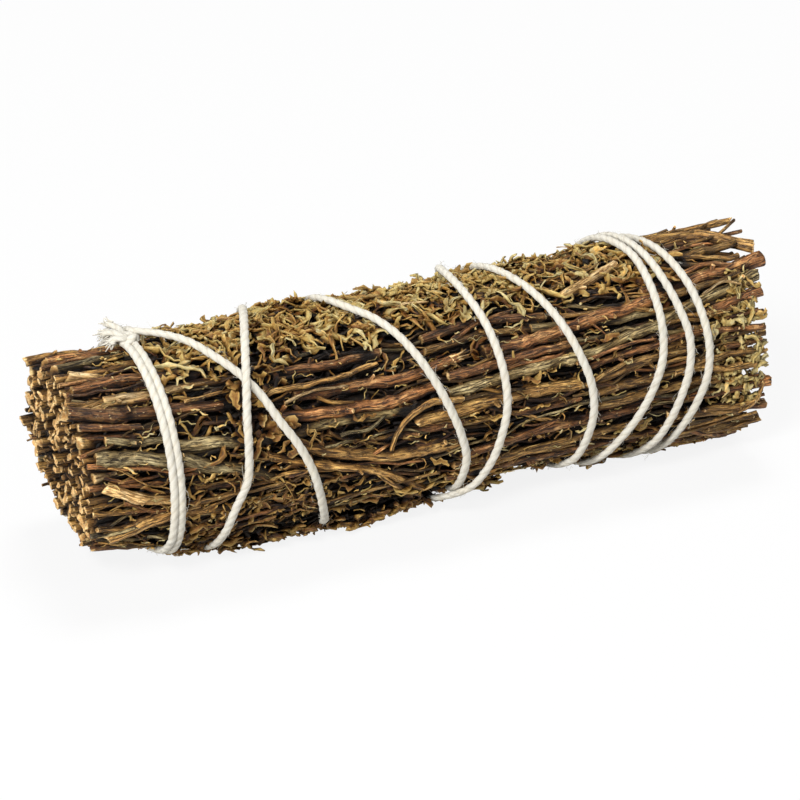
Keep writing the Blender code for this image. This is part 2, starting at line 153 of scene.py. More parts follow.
def distances(points: Array) -> Array:
    """How far along its line each point lies, for one line or for many."""
    steps = np.linalg.norm(np.diff(points, axis=-2), axis=-1)
    return np.concatenate([np.zeros((*steps.shape[:-1], 1)), np.cumsum(steps, axis=-1)], axis=-1)


def turns(sides: int) -> Array:
    """The angle of each point of a ring, in radians."""
    return math.tau * np.arange(sides) / sides


def pressed(turn: Array, flat: Array) -> Array:
    """The factors that press a round ring flat."""
    return 1 / np.sqrt((np.cos(turn) / flat) ** 2 + np.sin(turn) ** 2)


def smooth_line(places: Array, step: float) -> Array:
    """Reads places off a smooth curve through the given rows, a step apart.

    Args:
        places: Rows whose first three numbers are a point.
        step: The distance between two returned rows.

    Returns:
        An array of rows, ends included.
    """
    rows = np.asarray(places, float)
    padded = np.vstack([2 * rows[0] - rows[1], rows, 2 * rows[-1] - rows[-2]])
    parts = []
    t = np.linspace(0, 1, 16, endpoint=False)[:, None]
    for a, b, c, d in zip(padded, padded[1:], padded[2:], padded[3:]):
        bend = (2 * a - 5 * b + 4 * c - d) * t**2 + (3 * b - a - 3 * c + d) * t**3
        parts.append(b + 0.5 * (c - a) * t + 0.5 * bend)
    fine = np.vstack([*parts, rows[-1:]])
    along = distances(fine[:, :3])
    wanted = np.linspace(0, along[-1], max(3, round(along[-1] / step) + 1))
    return np.array([np.interp(wanted, along, column) for column in fine.T]).T


def waves(chance: np.random.Generator, count: int, along: Array, length: float) -> Array:
    """Smooth random waves along lines, about 1 high, no two lines the same.

    Args:
        chance: The source of chance.
        count: How many lines.
        along: The distance along each line, one row for all or a row for each.
        length: The length of the longest wave.

    Returns:
        An array with a row for each line.
    """
    total = np.zeros((count, along.shape[-1]))
    for share, height in ((1.0, 0.6), (0.53, 0.35), (0.29, 0.2)):
        phase = chance.uniform(0, math.tau, (count, 1))
        stretch = chance.uniform(0.8, 1.25, (count, 1))
        total += height * np.sin(math.tau * along / (length * share) * stretch + phase)
    return total


# ---------------------------------------------------------------- meshes


def read_points(mesh: bpy.types.Mesh) -> Array:
    """Reads a mesh's points.

    Args:
        mesh: The mesh.

    Returns:
        The points, in millimetres, as rows.
    """
    points = np.zeros(len(mesh.vertices) * 3)
    mesh.vertices.foreach_get("co", points)
    return points.reshape(-1, 3) / MM


@dataclass
class Pile:
    """Points, faces and attributes of many shapes, gathered for one joined mesh.

    Attributes:
        name: The piece's name.
        points: The points of each lot of shapes, in millimetres.
        faces: Arrays of point numbers, three or four to a row.
        grain: Each point's place on its shape as if that were straight.
        marks: Each point's mark.
        tones: Each point's shade.
        count: How many points there are.
    """

    name: str
    points: list[Array] = field(default_factory=list)
    faces: list[Array] = field(default_factory=list)
    grain: list[Array] = field(default_factory=list)
    marks: list[Array] = field(default_factory=list)
    tones: list[Array] = field(default_factory=list)
    count: int = 0

    def add(self, points: Array, faces: list[Array], grain: Array, mark: Array, tone: Array) -> None:
        """Adds shapes.

        Args:
            points: The points, in millimetres.
            faces: Arrays of point numbers, three or four to a row.
            grain: Each point's place on the shape as if it were straight, in millimetres.
            mark: 0 on the skin, more on cut wood or a leaf's edge. It also carries painted light: a painted
                highlight on leaf edges and cut rims, and painted shade in the twine's grooves and, below 0,
                in the folds of curls.
            tone: Each point's shade within its finish.
        """
        self.points.append(points.reshape(-1, 3))
        self.faces.extend(rows + self.count for rows in faces)
        self.grain.append(grain.reshape(-1, 3))
        self.marks.append(mark.reshape(-1))
        self.tones.append(tone.reshape(-1))
        self.count += len(self.points[-1])

    def add_tubes(self, body: Array, grain: Array, mark: Array, tone: Array | float, end: float) -> None:
        """Adds tubes that a point closes at each end.

        Args:
            body: Their points, as (tubes, rings, sides, 3).
            grain: Each point's place on the straight tube.
            mark: Each point's mark.
            tone: Each tube's shade.
            end: The mark of the closing points.
        """
        count, rings, sides = mark.shape
        poles = np.stack([body[:, 0].mean(1), body[:, -1].mean(1)], 1)
        middle = np.stack([grain[:, 0].mean(1), grain[:, -1].mean(1)], 1)
        first = np.arange(count)[:, None] * rings * sides
        last = first + (rings - 1) * sides
        pole = count * rings * sides + np.arange(count)[:, None] * 2
        side = np.arange(sides)
        following = (side + 1) % sides
        start = np.stack(np.broadcast_arrays(pole, first + following, first + side), -1)
        stop = np.stack(np.broadcast_arrays(pole + 1, last + side, last + following), -1)
        faces = [grid_faces(count, rings, sides, True), start.reshape(-1, 3), stop.reshape(-1, 3)]
        tone = np.broadcast_to(tone, count)
        self.add(
            np.concatenate([body.reshape(-1, 3), poles.reshape(-1, 3)]),
            faces,
            np.concatenate([grain.reshape(-1, 3), middle.reshape(-1, 3)]),
            np.concatenate([mark.reshape(-1), np.full(count * 2, end)]),
            np.concatenate([np.repeat(tone, rings * sides), np.repeat(tone, 2)]),
        )

    def build(self) -> bpy.types.Object:
        """Makes the object, with its attributes, from all that was added.

        Returns:
            The object.
        """
        points = np.vstack(self.points)
        points[:, 2] = np.maximum(points[:, 2], FLOOR_GAP)
        sizes = np.concatenate([np.full(len(rows), rows.shape[1]) for rows in self.faces])
        corners = np.concatenate([rows.reshape(-1) for rows in self.faces])
        mesh = bpy.data.meshes.new(self.name)
        mesh.vertices.add(len(points))
        mesh.vertices.foreach_set("co", (points * MM).ravel())
        mesh.loops.add(len(corners))
        mesh.loops.foreach_set("vertex_index", corners.astype(np.int32))
        mesh.polygons.add(len(sizes))
        starts = np.concatenate([[0], np.cumsum(sizes)[:-1]])
        mesh.polygons.foreach_set("loop_start", starts.astype(np.int32))
        mesh.update(calc_edges=True)
        mesh.shade_smooth()
        grain = mesh.attributes.new("grain", "FLOAT_VECTOR", "POINT")
        grain.data.foreach_set("vector", np.vstack(self.grain).ravel())
        numbers = {
            "mark": np.concatenate(self.marks),
            "tone": np.concatenate(self.tones),
            "open": np.ones(len(points)),
        }
        for name, values in numbers.items():
            attribute = mesh.attributes.new(name, "FLOAT", "POINT")
            attribute.data.foreach_set("value", values)
        piece = bpy.data.objects.new(self.name, mesh)
        bpy.context.collection.objects.link(piece)
        return piece


def grid_faces(shapes: int, rings: int, sides: int, closed: bool) -> Array:
    """Four-sided faces between neighbouring points of many equal grids.

    Args:
        shapes: How many grids.
        rings: Points along each.
        sides: Points across or round each.
        closed: Whether the last side meets the first.

    Returns:
        Rows of four point numbers.
    """
    ring = np.arange(rings - 1)[:, None] * sides
    first = np.arange(sides if closed else sides - 1)
    second = (first + 1) % sides
    rows = [ring + first, ring + second, ring + sides + second, ring + sides + first]
    one = np.stack(rows, -1).reshape(-1, 4)
    starts = np.arange(shapes)[:, None, None] * (rings * sides)
    return (one + starts).reshape(-1, 4)


def unit(rows: Array) -> Array:
    """The same directions with a length of 1."""
    return rows / np.maximum(np.linalg.norm(rows, axis=-1, keepdims=True), 1e-9)


def frames(lines: Array, up: Array) -> tuple[Array, Array, Array]:
    """The ways ahead, up and aside at each point of many lines.

    Args:
        lines: Points of every line, as (lines, points, 3).
        up: The direction that up leans to, of a shape that fits the lines.

    Returns:
        Three arrays of directions, each shaped like the lines.
    """
    ahead = unit(np.gradient(lines, axis=1))
    up = unit(up - (up * ahead).sum(-1, keepdims=True) * ahead)
    return ahead, up, np.cross(ahead, up)


@dataclass
class Rods:
    """Round, rough, closed shapes along lines: stems, twigs and stalks.

    Attributes:
        pile: Where they go.
        chance: The source of chance.
        sides: Points round each.
        roughness: How far ridges stand out, as a share of the radius.
        cut: How far the cut's middle and its slope reach, as a share of the radius.
        capped: Whether the ends are cuts; the others only close.
    """

    pile: Pile
    chance: np.random.Generator
    sides: int
    roughness: float
    cut: float
    capped: bool = True

    def relief(self, along: Array) -> Array:
        """Ridges that run along each rod and wander round it.

        Args:
            along: The distance along each rod, as (rods, points).

        Returns:
            Factors near 1 for the radius, as (rods, points, sides).
        """
        count = len(along)
        turn = turns(self.sides)
        total = np.zeros((*along.shape, self.sides))
        for ridges, height in ((2, 0.8), (3, 0.55), (5, 0.4)):
            wander = waves(self.chance, count, along, 14.0)[:, :, None] * 1.3
            phase = self.chance.uniform(0, math.tau, (count, 1, 1))
            total += height * np.sin(ridges * turn + phase + wander)
        swell = waves(self.chance, count, along, 6.0)[:, :, None] * 0.5
        return 1 + self.roughness * (total + swell)

    def add(self, lines: Array, radii: Array, tone: Array | float, bare: Array | float = 0.0,
            relief: Array | None = None) -> None:
        """Adds closed rods to the pile.

        Args:
            lines: The centre lines, as (rods, points, 3).
            radii: The radius at each point, as (rods, points).
            tone: Each rod's shade.
            bare: How much of each rod's skin is gone, from 0 to 1, as (rods, points), and if it differs
                round the rod as (rods, points, sides). Curls pass here a painted highlight on their edges
                and, below 0, painted shade in their folds.
            relief: The surface's factors, if they are already known.
        """
        ahead, up, aside = frames(lines, outward(lines))
        along = distances(lines) + self.chance.uniform(0, 400, (len(lines), 1))
        if relief is None:
            relief = self.relief(along)
        turn = turns(self.sides)
        cos, sin = np.cos(turn)[:, None], np.sin(turn)[:, None]
        spread = radii[..., None, None] * relief[..., None]
        body = lines[:, :, None] + (up[:, :, None] * cos + aside[:, :, None] * sin) * spread
        flat = np.concatenate([cos, sin], -1) * spread
        straight = np.broadcast_to(along[:, :, None, None], (*flat.shape[:3], 1))
        grain = np.concatenate([flat, straight], -1)
        if np.ndim(bare) < 3:
            bare = np.broadcast_to(bare, radii.shape)[..., None]
        mark = np.broadcast_to(bare, flat.shape[:3])
        if self.capped:
            before = self.cap(body[:, 0], lines[:, 0], -ahead[:, 0], grain[:, 0], radii[:, 0])
            after = self.cap(body[:, -1], lines[:, -1], ahead[:, -1], grain[:, -1], radii[:, -1])
            whole = zip(before, (body, grain, mark), after)
            body, grain, mark = (np.concatenate([a[:, ::-1], b, c], axis=1) for a, b, c in whole)
        self.pile.add_tubes(body, grain, mark, tone, 2.0 if self.capped else 0.0)

    def cap(self, rim: Array, middle: Array, ahead: Array, grain: Array, radii: Array) -> tuple[Array, ...]:
        """The rings of a cut end, from its edge inwards.

        Args:
            rim: The last ring of each rod.
            middle: Its centre.
            ahead: The way out of the rod's end.
            grain: The rim's places on the straight rod.
            radii: Each rod's radius there.

        Returns:
            Points, grain and marks of the rings.
        """
        count = len(rim)
        slope = self.chance.normal(0, self.cut, (count, 1, 3))
        points, grains, marks = [], [], []
        # The marks rise from a cut's rim inwards; the bark finish paints the middle darker, partly a painted
        # highlight on the rim.
        for share, rise, mark in ((0.93, 0.1, 1.0), (0.5, 0.2, 1.5)):
            ring = middle[:, None] + (rim - middle[:, None]) * share
            lean = ((ring - middle[:, None]) * slope).sum(-1, keepdims=True)
            uneven = self.chance.normal(0, 0.07, (count, self.sides, 1)) * radii[:, None, None]
            points.append(ring + ahead[:, None] * (lean + rise * radii[:, None, None] + uneven))
            grains.append(grain * (share, share, 1.0))
            marks.append(np.full((count, self.sides), mark))
        return np.stack(points, 1), np.stack(grains, 1), np.stack(marks, 1)


@dataclass
class Shade:
    """Works out how deep every point lies in the gaps between the pieces round it.

    Attributes:
        step: The size of the squares in which heights are kept, in millimetres.
        reach: How far round a point its surroundings count, in squares.
        side_depth: How deep a gap in the bundle's side is fully dark.
        butt_depth: How deep a gap in the butt's face is fully dark.
        tip_depth: How deep a gap between the tips is fully dark.
        half_length: Half the length of the side's map, in millimetres.
        half_width: Half the width of the two ends' maps.
    """

    step: float = 0.3
    reach: int = 3
    side_depth: float = 1.15
    butt_depth: float = 1.3
    tip_depth: float = 8.0
    half_length: float = 70.0
    half_width: float = 24.0

    def spread(self, heights: Array) -> Array:
        """Spreads each height to the squares within reach, and smooths them.

        Args:
            heights: The map.

        Returns:
            The new map.
        """
        span = range(-self.reach, self.reach + 1)
        near = [(i, j) for i in span for j in span if i * i + j * j <= self.reach**2]
        tallest = np.max([np.roll(heights, shift, (0, 1)) for shift in near], axis=0)
        return np.mean([np.roll(tallest, shift, (0, 1)) for shift in near], axis=0)

    def squares(self, rows: Array, columns: Array, heights: Array, shape: tuple[int, int]) -> Array:
        """Maps the greatest height in each square, spread to its surroundings.

        Args:
            rows: Each point's row.
            columns: Each point's column.
            heights: Each point's height.
            shape: The map's rows and columns.

        Returns:
            The map.
        """
        chart = np.zeros(shape)
        np.maximum.at(chart, (rows, columns), heights)
        return self.spread(chart)

    def apply(self, pieces: list[bpy.types.Object]) -> None:
        """Stores on every point how open to the light it is, from 0 to 1.

        Args:
            pieces: The pieces that fill the bundle.
        """
        clouds = [read_points(piece.data) for piece in pieces]
        points = np.vstack(clouds)
        x = points[:, 0]
        y, z = points[:, 1] - AXIS_Y, points[:, 2] - AXIS_HEIGHT
        away = np.hypot(y, z)
        sector = np.degrees(np.arctan2(-y, z)).astype(int) % 360
        column = ((x + self.half_length) / self.step).astype(int)
        shape = (round(2 * self.half_length / self.step), 360)
        side = self.squares(column, sector, away, shape)[column, sector] - away
        row, line = (((w + self.half_width) / self.step).astype(int) for w in (y, z))
        shape = (round(2 * self.half_width / self.step),) * 2
        butt = x + self.squares(row, line, np.clip(-x, 0, None), shape)[row, line]
        tip = self.squares(row, line, np.clip(x, 0, None), shape)[row, line] - x
        dark = np.minimum((side - 0.15) / self.side_depth, (butt - 0.1) / self.butt_depth)
        dark = np.clip(np.minimum(dark, (tip - 0.5) / self.tip_depth), 0, 1)
        start = 0
        for piece, cloud in zip(pieces, clouds):
            part = 1 - dark[start : start + len(cloud)]
            piece.data.attributes["open"].data.foreach_set("value", part)
            start += len(cloud)


# ---------------------------------------------------------------- finishes


@dataclass
class Graph:
    """One material's nodes, added and wired a node at a time.

    Attributes:
        name: The material's name.
    """

    name: str

    def __post_init__(self) -> None:
        """Starts the material with only its output and its main shader."""
        self.material = bpy.data.materials.new(self.name)
        self.material.use_nodes = True
        self.tree = self.material.node_tree
        self.shader = self.tree.nodes["Principled BSDF"]

    def put(self, kind: str, out: int | str = 0, inputs: dict | None = None,
            **settings: object) -> Socket:
        """Adds a node and returns one of its outputs.

        Args:
            kind: The node's type, without the words that all types begin with.
            out: Which output.
            inputs: The values and sockets for its inputs, by name or number.
            settings: The node's own settings.

        Returns:
            The output socket.
        """
        node = self.tree.nodes.new(f"ShaderNode{kind}")
        for name, value in settings.items():
            setattr(node, name, value)
        for name, value in (inputs or {}).items():
            self.join(node.inputs[name], value)
        return node.outputs[out]

    def join(self, socket: Socket, value: object) -> None:
        """Wires a socket to an input, or sets the input's number or colour.

        Args:
            socket: The input.
            value: The socket that feeds it, or its value.
        """
        if isinstance(value, bpy.types.NodeSocket):
            self.tree.links.new(value, socket)
        else:
            socket.default_value = value

    def attribute(self, name: str, out: str = "Fac") -> Socket:
        """Reads one of the mesh's attributes."""
        return self.put("Attribute", out, attribute_name=name)

    def math(self, operation: str, first: object, second: object = 0.0, clamp: bool = False) -> Socket:
        """Adds a sum."""
        return self.put("Math", 0, {0: first, 1: second}, operation=operation, use_clamp=clamp)

    def stretch(self, vector: Socket, scale: tuple[float, float, float]) -> Socket:
        """Scales a place along each axis."""
        return self.put("Mapping", 0, {"Vector": vector, "Scale": scale})

    def noise(self, vector: Socket, scale: float, detail: float = 4.0, twist: float = 0.0) -> Socket:
        """Adds a cloudy pattern."""
        inputs = {"Vector": vector, "Scale": scale, "Detail": detail, "Distortion": twist}
        return self.put("TexNoise", 0, {**inputs, "Roughness": 0.62})

    def ramp(self, value: Socket, low: float, high: float, start: float = 0.0,
             end: float = 1.0) -> Socket:
        """Turns the range from low to high into the range from start to end."""
        inputs = {0: value, 1: low, 2: high, 3: start, 4: end}
        return self.put("MapRange", 0, inputs, clamp=True)

    def blend(self, share: object, first: object, second: object, way: str = "MIX") -> Socket:
        """Mixes two colours."""
        inputs = {"Factor": share, 6: first, 7: second}
        return self.put("Mix", 2, inputs, data_type="RGBA", blend_type=way)

    def depth(self, fall: float) -> Socket:
        """The light that the gaps let back, browner the deeper it goes, from the mesh's attribute.

        Args:
            fall: How fast it falls with depth.

        Returns:
            The light's colour.
        """
        level = self.attribute("open")
        shares = {}
        for i, (more, least) in enumerate(((0.0, 0.025), (0.2, 0.018), (0.65, 0.012))):
            part = self.math("POWER", level, fall + more)
            shares[i] = self.ramp(part, 0.0, 1.0, least, 1.0)
        return self.put("CombineColor", 0, shares)

    def bump(self, height: Socket, distance: float, strength: float = 1.0) -> None:
        """Gives the shader a relief of this depth in metres."""
        inputs = {"Height": height, "Distance": distance, "Strength": strength}
        self.join(self.shader.inputs["Normal"], self.put("Bump", 0, inputs))

    def times(self, first: object, second: object) -> Socket:
        """Multiplies two colours."""
        return self.blend(1.0, first, second, "MULTIPLY")

    def shade(self, **inputs: object) -> None:
        """Wires or sets the main shader's inputs, by their names with underscores for spaces."""
        for name, value in inputs.items():
            self.join(self.shader.inputs[name.replace("_", " ")], value)

    def finish(self, colour: Socket, roughness: Socket | float, gloss: float) -> None:
        """Wires the colour, the roughness and the gloss."""
        self.shade(Base_Color=colour, Roughness=roughness, Specular_IOR_Level=gloss)


def colour(red: float, green: float, blue: float) -> tuple[float, float, float, float]:
    """A colour as the shaders count it.

    Args:
        red: The red that a screen would show, 0 to 255.
        green: The green.
        blue: The blue.

    Returns:
        The colour, with its opacity.
    """
    parts = [channel / 255 for channel in (red, green, blue)]
    linear = [p / 12.92 if p <= 0.04045 else ((p + 0.055) / 1.055) ** 2.4 for p in parts]
    return (*linear, 1.0)


@dataclass(frozen=True)
class Finish:
    """A material that is all made of patterns.

    Attributes:
        name: The material's name.
    """

    name: str

    def make(self) -> bpy.types.Material:
        """Builds the material.

        Returns:
            The material.
        """
        g = Graph(self.name)
        self.paint(g)
        return g.material

    def paint(self, g: Graph) -> None:
        """Adds the nodes to the material's graph."""
        raise NotImplementedError


@dataclass(frozen=True)
class BarkFinish(Finish):
    """Dry bark with wrinkles along the stem, pale flecks, dark cracks and tan cut wood.

    Attributes:
        dark: The bark's colour in its furrows.
        middle: Its colour over most of the stem.
        light: Its colour on worn ridges.
        worn: How much of the bark is worn.
        cut: The colour of the cut wood.
        cut_dark: The colour of its darker rings, and of a cut face's middle, darker than its rim: partly the
            wood's own colour, partly a painted highlight on the rim.
        fall: How fast the light falls in the gaps between the stems.
    """

    dark: tuple
    middle: tuple
    light: tuple
    worn: float = 0.5
    cut: tuple = colour(255, 230, 172)
    cut_dark: tuple = colour(216, 160, 90)
    fall: float = 1.7

    def paint(self, g: Graph) -> None:
        """Adds the bark's and the wood's patterns.

        Args:
            g: The material's graph.
        """
        grain = g.attribute("grain", "Vector")
        tone = g.attribute("tone")
        mark = g.attribute("mark")
        fibres = g.noise(g.stretch(grain, (1.0, 1.0, 0.09)), 3.4, 6.0, 0.5)
        patches = g.noise(g.stretch(grain, (1.0, 1.0, 0.4)), 0.55, 3.0, 0.4)
        specks = g.noise(g.stretch(grain, (1.0, 1.0, 0.55)), 3.1, 2.0)
        cracks = g.noise(g.stretch(grain, (1.0, 1.0, 0.16)), 2.0, 2.0, 1.2)
        bark = g.blend(g.ramp(fibres, 0.41, 0.6), self.dark, self.middle)
        worn = g.math("MULTIPLY", g.ramp(patches, 0.66 - 0.3 * self.worn, 0.72), g.ramp(fibres, 0.4, 0.6))
        bark = g.blend(worn, bark, self.light)
        bark = g.times(bark, g.ramp(tone, 0.0, 1.0, 0.2, 1.5))
        bark = g.blend(g.ramp(specks, 0.66, 0.72, 0.0, 0.8), bark, colour(206, 182, 130))
        furrow = g.ramp(g.math("ABSOLUTE", g.math("SUBTRACT", cracks, 0.5)), 0.0, 0.03, 0.75, 0.0)
        bark = g.blend(furrow, bark, colour(26, 15, 7))
        across = g.put("VectorMath", "Value", {0: g.stretch(grain, (1.0, 1.0, 0.0))}, operation="LENGTH")
        rings = g.noise(grain, 3.0, 4.0, 0.3)
        wood = g.blend(g.ramp(rings, 0.35, 0.65), self.cut_dark, self.cut)
        pith = g.ramp(across, 0.07, 0.16, 0.75, 0.0)
        wood = g.blend(pith, wood, colour(78, 46, 24))
        bare = g.ramp(g.math("ADD", mark, g.ramp(fibres, 0.3, 0.7, -0.25, 0.25)), 0.35, 0.65)
        # A cut face darkens from its rim inwards: partly the wood's own colour, partly a painted highlight
        # on the rim.
        wood = g.blend(g.ramp(mark, 1.02, 1.6, 0.0, 0.6), wood, self.cut_dark)
        wood = g.times(wood, g.ramp(tone, 0.0, 0.6, 0.75, 1.1))
        skin = g.times(g.blend(bare, bark, wood), g.depth(self.fall))
        height = g.math("ADD", fibres, g.math("MULTIPLY", furrow, -0.6))
        height = g.math("ADD", height, g.math("MULTIPLY", specks, 0.5))
        g.bump(height, 0.0003, 1.0)
        g.finish(skin, g.ramp(fibres, 0.3, 0.7, 0.6, 0.42), 0.28)


@dataclass(frozen=True)
class LeafFinish(Finish):
    """Dry leaves: each leaf has its own shade, with pale edges that are partly a painted highlight, veins,
    brown spots and painted shade in the folds.

    Attributes:
        name: The material's name.
        fall: How fast the light falls in the gaps between the leaves.
    """

    name: str = "dry_leaf"
    fall: float = 0.8

    def paint(self, g: Graph) -> None:
        """Adds the shades, veins and spots.

        Args:
            g: The material's graph.
        """
        grain = g.attribute("grain", "Vector")
        tone = g.attribute("tone")
        mottle = g.noise(grain, 0.9, 4.0, 0.5)
        veins = g.noise(g.stretch(grain, (1.0, 1.0, 0.3)), 4.0, 3.0)
        ramp = g.put("ValToRGB", 0, {0: g.math("ADD", tone, g.ramp(mottle, 0.3, 0.7, -0.16, 0.16))})
        stops = ramp.node.color_ramp.elements
        shades = (
            (0.0, colour(60, 38, 16)),
            (0.25, colour(134, 90, 40)),
            (0.48, colour(176, 138, 72)),
            (0.68, colour(180, 162, 102)),
            (0.84, colour(192, 182, 140)),
            (1.0, colour(240, 194, 108)),
        )
        stops.remove(stops[1])
        stops[0].position, stops[0].color = shades[0]
        for spot, shade in shades[1:]:
            stops.new(spot).color = shade
        skin = g.blend(g.ramp(veins, 0.4, 0.66, 0.0, 0.35), ramp, colour(74, 54, 26))
        mark = g.attribute("mark")
        # Pale edges: partly the dry leaf's own margin, partly a painted highlight.
        skin = g.blend(g.ramp(mark, 0.35, 1.0, 0.0, 0.5), skin, colour(238, 208, 132))
        # Painted shade in the folds of the curls, where the mark is below 0.
        skin = g.blend(g.ramp(mark, -1.0, -0.2, 0.7, 0.0), skin, colour(44, 28, 12))
        skin = g.times(skin, g.depth(self.fall))
        g.bump(g.math("ADD", veins, mottle), 0.0003, 0.9)
        g.finish(skin, g.ramp(mottle, 0.3, 0.7, 0.42, 0.68), 0.28)


@dataclass(frozen=True)
class CottonFinish(Finish):
    """Undyed cotton twine with fine fibres along its strands.

    Attributes:
        name: The material's name.
        base: The cotton's colour.
        shadow: Its colour between the fibres.
    """

    name: str = "cotton_twine"
    base: tuple = colour(200, 197, 187)
    shadow: tuple = colour(184, 177, 160)

    def paint(self, g: Graph) -> None:
        """Adds the fibres, the soil and the painted shade in the grooves between the strands.

        Args:
            g: The material's graph.
        """
        grain = g.attribute("grain", "Vector")
        fibres = g.noise(g.stretch(grain, (1.0, 1.0, 0.12)), 6.0, 4.0, 0.2)
        soil = g.noise(grain, 0.25, 2.0)
        skin = g.blend(g.ramp(fibres, 0.3, 0.6), self.shadow, self.base)
        skin = g.blend(g.ramp(soil, 0.5, 0.75, 0.0, 0.3), skin, colour(204, 192, 166))
        # Painted shade: darker in the grooves between the strands, where the mark is high.
        skin = g.blend(g.ramp(g.attribute("mark"), 0.0, 1.0), skin, colour(150, 136, 108))
        g.bump(fibres, 0.00012, 0.8)
        g.shade(Sheen_Weight=0.12, Sheen_Roughness=0.6)
        g.finish(skin, 0.9, 0.2)


@dataclass(frozen=True)
class HeartFinish(Finish):
    """The dark inside of the bundle, painted with the shade of a place where little light reaches, and the
    litter at its tip end, shown in its own colours under less painted shade.

    Attributes:
        name: The material's name.
        end: Where the lighter litter of the tip end starts, in millimetres along the bundle.
    """

    name: str = "dark_heart"
    end: float = 53.0

    def paint(self, g: Graph) -> None:
        """Adds the litter.

        Args:
            g: The material's graph.
        """
        grain = g.attribute("grain", "Vector")
        litter = g.noise(g.stretch(grain, (0.3, 1.0, 1.0)), 1.6, 5.0, 0.6)
        # Painted shade: the heap's near-black colours.
        skin = g.blend(g.ramp(litter, 0.4, 0.7), colour(20, 13, 6), colour(54, 37, 20))
        # At the tip end the litter shows lighter, with less painted shade.
        tips = g.blend(g.ramp(litter, 0.45, 0.62), colour(44, 28, 12), colour(158, 120, 66))
        x = g.put("SeparateXYZ", 0, {0: grain})
        skin = g.blend(g.ramp(x, self.end, self.end + 1.0), skin, tips)
        g.bump(litter, 0.0006)
        g.finish(skin, 0.9, 0.5)


@dataclass(frozen=True)
class PaperFinish(Finish):
    """The white ground: it looks white to the eye and still takes the bundle's shadow.

    Attributes:
        name: The material's name.
        glow: The share of its white that shadows leave.
        seen: Its own colour, as the camera sees it.
    """

    name: str = "white_ground"
    glow: float = 0.865
    seen: tuple = colour(78, 78, 78)

    def paint(self, g: Graph) -> None:
        """Adds the white that the camera sees.

        Args:
            g: The material's graph.
        """
        place_here = g.put("TexCoord", "Object")
        clouds = g.noise(place_here, 3.0, 2.0)
        tint = g.blend(clouds, colour(206, 205, 203), colour(210, 209, 208))
        seen = g.put("LightPath", "Is Camera Ray")
        g.shade(Emission_Color=(1.0, 1.0, 1.0, 1.0), Emission_Strength=g.math("MULTIPLY", seen, self.glow))
        g.finish(g.blend(seen, tint, self.seen), 0.95, 0.0)


# The finish of each slot, and of the one piece that has its own.
FINISHES: dict[Slot | str, Finish] = {
    Slot.RED: BarkFinish("red_bark", colour(52, 30, 15), colour(174, 117, 67), colour(240, 188, 122)),
    Slot.GREY: BarkFinish("grey_bark", colour(52, 40, 20), colour(162, 138, 90), colour(232, 214, 162), 0.8),
    Slot.TAN: BarkFinish("tan_bark", colour(64, 42, 18), colour(184, 138, 74), colour(244, 200, 122), 0.6),
    Slot.PEELED: BarkFinish(
        "peeled_wood", colour(132, 96, 52), colour(222, 184, 124), colour(246, 228, 184), 0.7
    ),
    Slot.LEAF: LeafFinish(),
    # The top's leaves get a lit copy of the leaf finish: its painted shade in the gaps falls more slowly, so
    # they read lighter.
    "top_leaves": LeafFinish("top_leaf", 0.45),
    Slot.COTTON: CottonFinish(),
}


def dress(piece: bpy.types.Object, material: bpy.types.Material, slot: str, *nodes: str) -> None:
    """Gives a piece its material and its place on the root body, and hides the nodes it stands for.

    Args:
        piece: The finished piece.
        material: Its material.
        slot: The record's material slot; not used.
        nodes: The frame's nodes that it replaces.
    """
    piece.data.materials.append(material)
    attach(piece, "root")
    if nodes:
        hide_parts(*nodes)
    faces = piece.data.polygons
    triangles = len(piece.data.loops) - 2 * len(faces)
    log.info("%s: %d triangles", piece.name, triangles)


# ---------------------------------------------------------------- sub-assemblies


@dataclass
class Heart:
    """The heap of packed twigs that fills the bundle under everything else, coloured near black as painted
    shade.

    Attributes:
        start: The x of its end at the butt.
        end: The x of its end at the tips.
        inset: How far it lies below the outer stems.
        seed: The seed of its chance.
        sides: Points round it.
        cuts: Points along it, without its ends.
    """

    start: float = -55.5
    end: float = 54.0
    inset: float = 3.4
    seed: int = 5
    sides: int = 72
    cuts: int = 70

    def build(self) -> None:
        """Makes the heap: a drum with a lumpy side, and ends that bulge and sink."""
        bpy.ops.object.select_all(action="DESELECT")
        bpy.ops.mesh.primitive_cylinder_add(
            vertices=self.sides,
            radius=1.0,
            depth=1.0,
            end_fill_type="TRIFAN",
            rotation=(0, math.pi / 2, 0),
        )
        drum = bpy.context.object
        drum.name = "dark_heart"
        bpy.ops.object.transform_apply(rotation=True)
        mesh = bmesh.new()
        mesh.from_mesh(drum.data)
        lengthwise = [e for e in mesh.edges if abs(e.verts[0].co.x - e.verts[1].co.x) > 0.5]
        bmesh.ops.subdivide_edges(mesh, edges=lengthwise, cuts=self.cuts, use_grid_fill=True)
        shifts = np.random.default_rng(self.seed).normal(0, 0.5, len(mesh.verts))
        for vert, shift in zip(mesh.verts, shifts):
            x = self.start + (vert.co.x + 0.5) * (self.end - self.start)
            turn = math.atan2(-vert.co.y, vert.co.z)
            lumps = math.sin(5 * turn + x * 0.21) + math.sin(9 * turn - x * 0.37 + 1.3)
            reach = math.hypot(vert.co.y, vert.co.z)
            away = reach * (float(radius_at(x)) - self.inset + 0.35 * lumps + 0.3 * shift)
            vert.co = Vector(place(x, math.degrees(turn), away)) * MM
        bmesh.ops.recalc_face_normals(mesh, faces=mesh.faces)
        mesh.to_mesh(drum.data)
        mesh.free()
        grain = drum.data.attributes.new("grain", "FLOAT_VECTOR", "POINT")
        grain.data.foreach_set("vector", read_points(drum.data).ravel())
        drum.data.shade_smooth()
        dress(drum, HeartFinish().make(), Slot.LEAF.value, "packed_leaves_and_twigs")


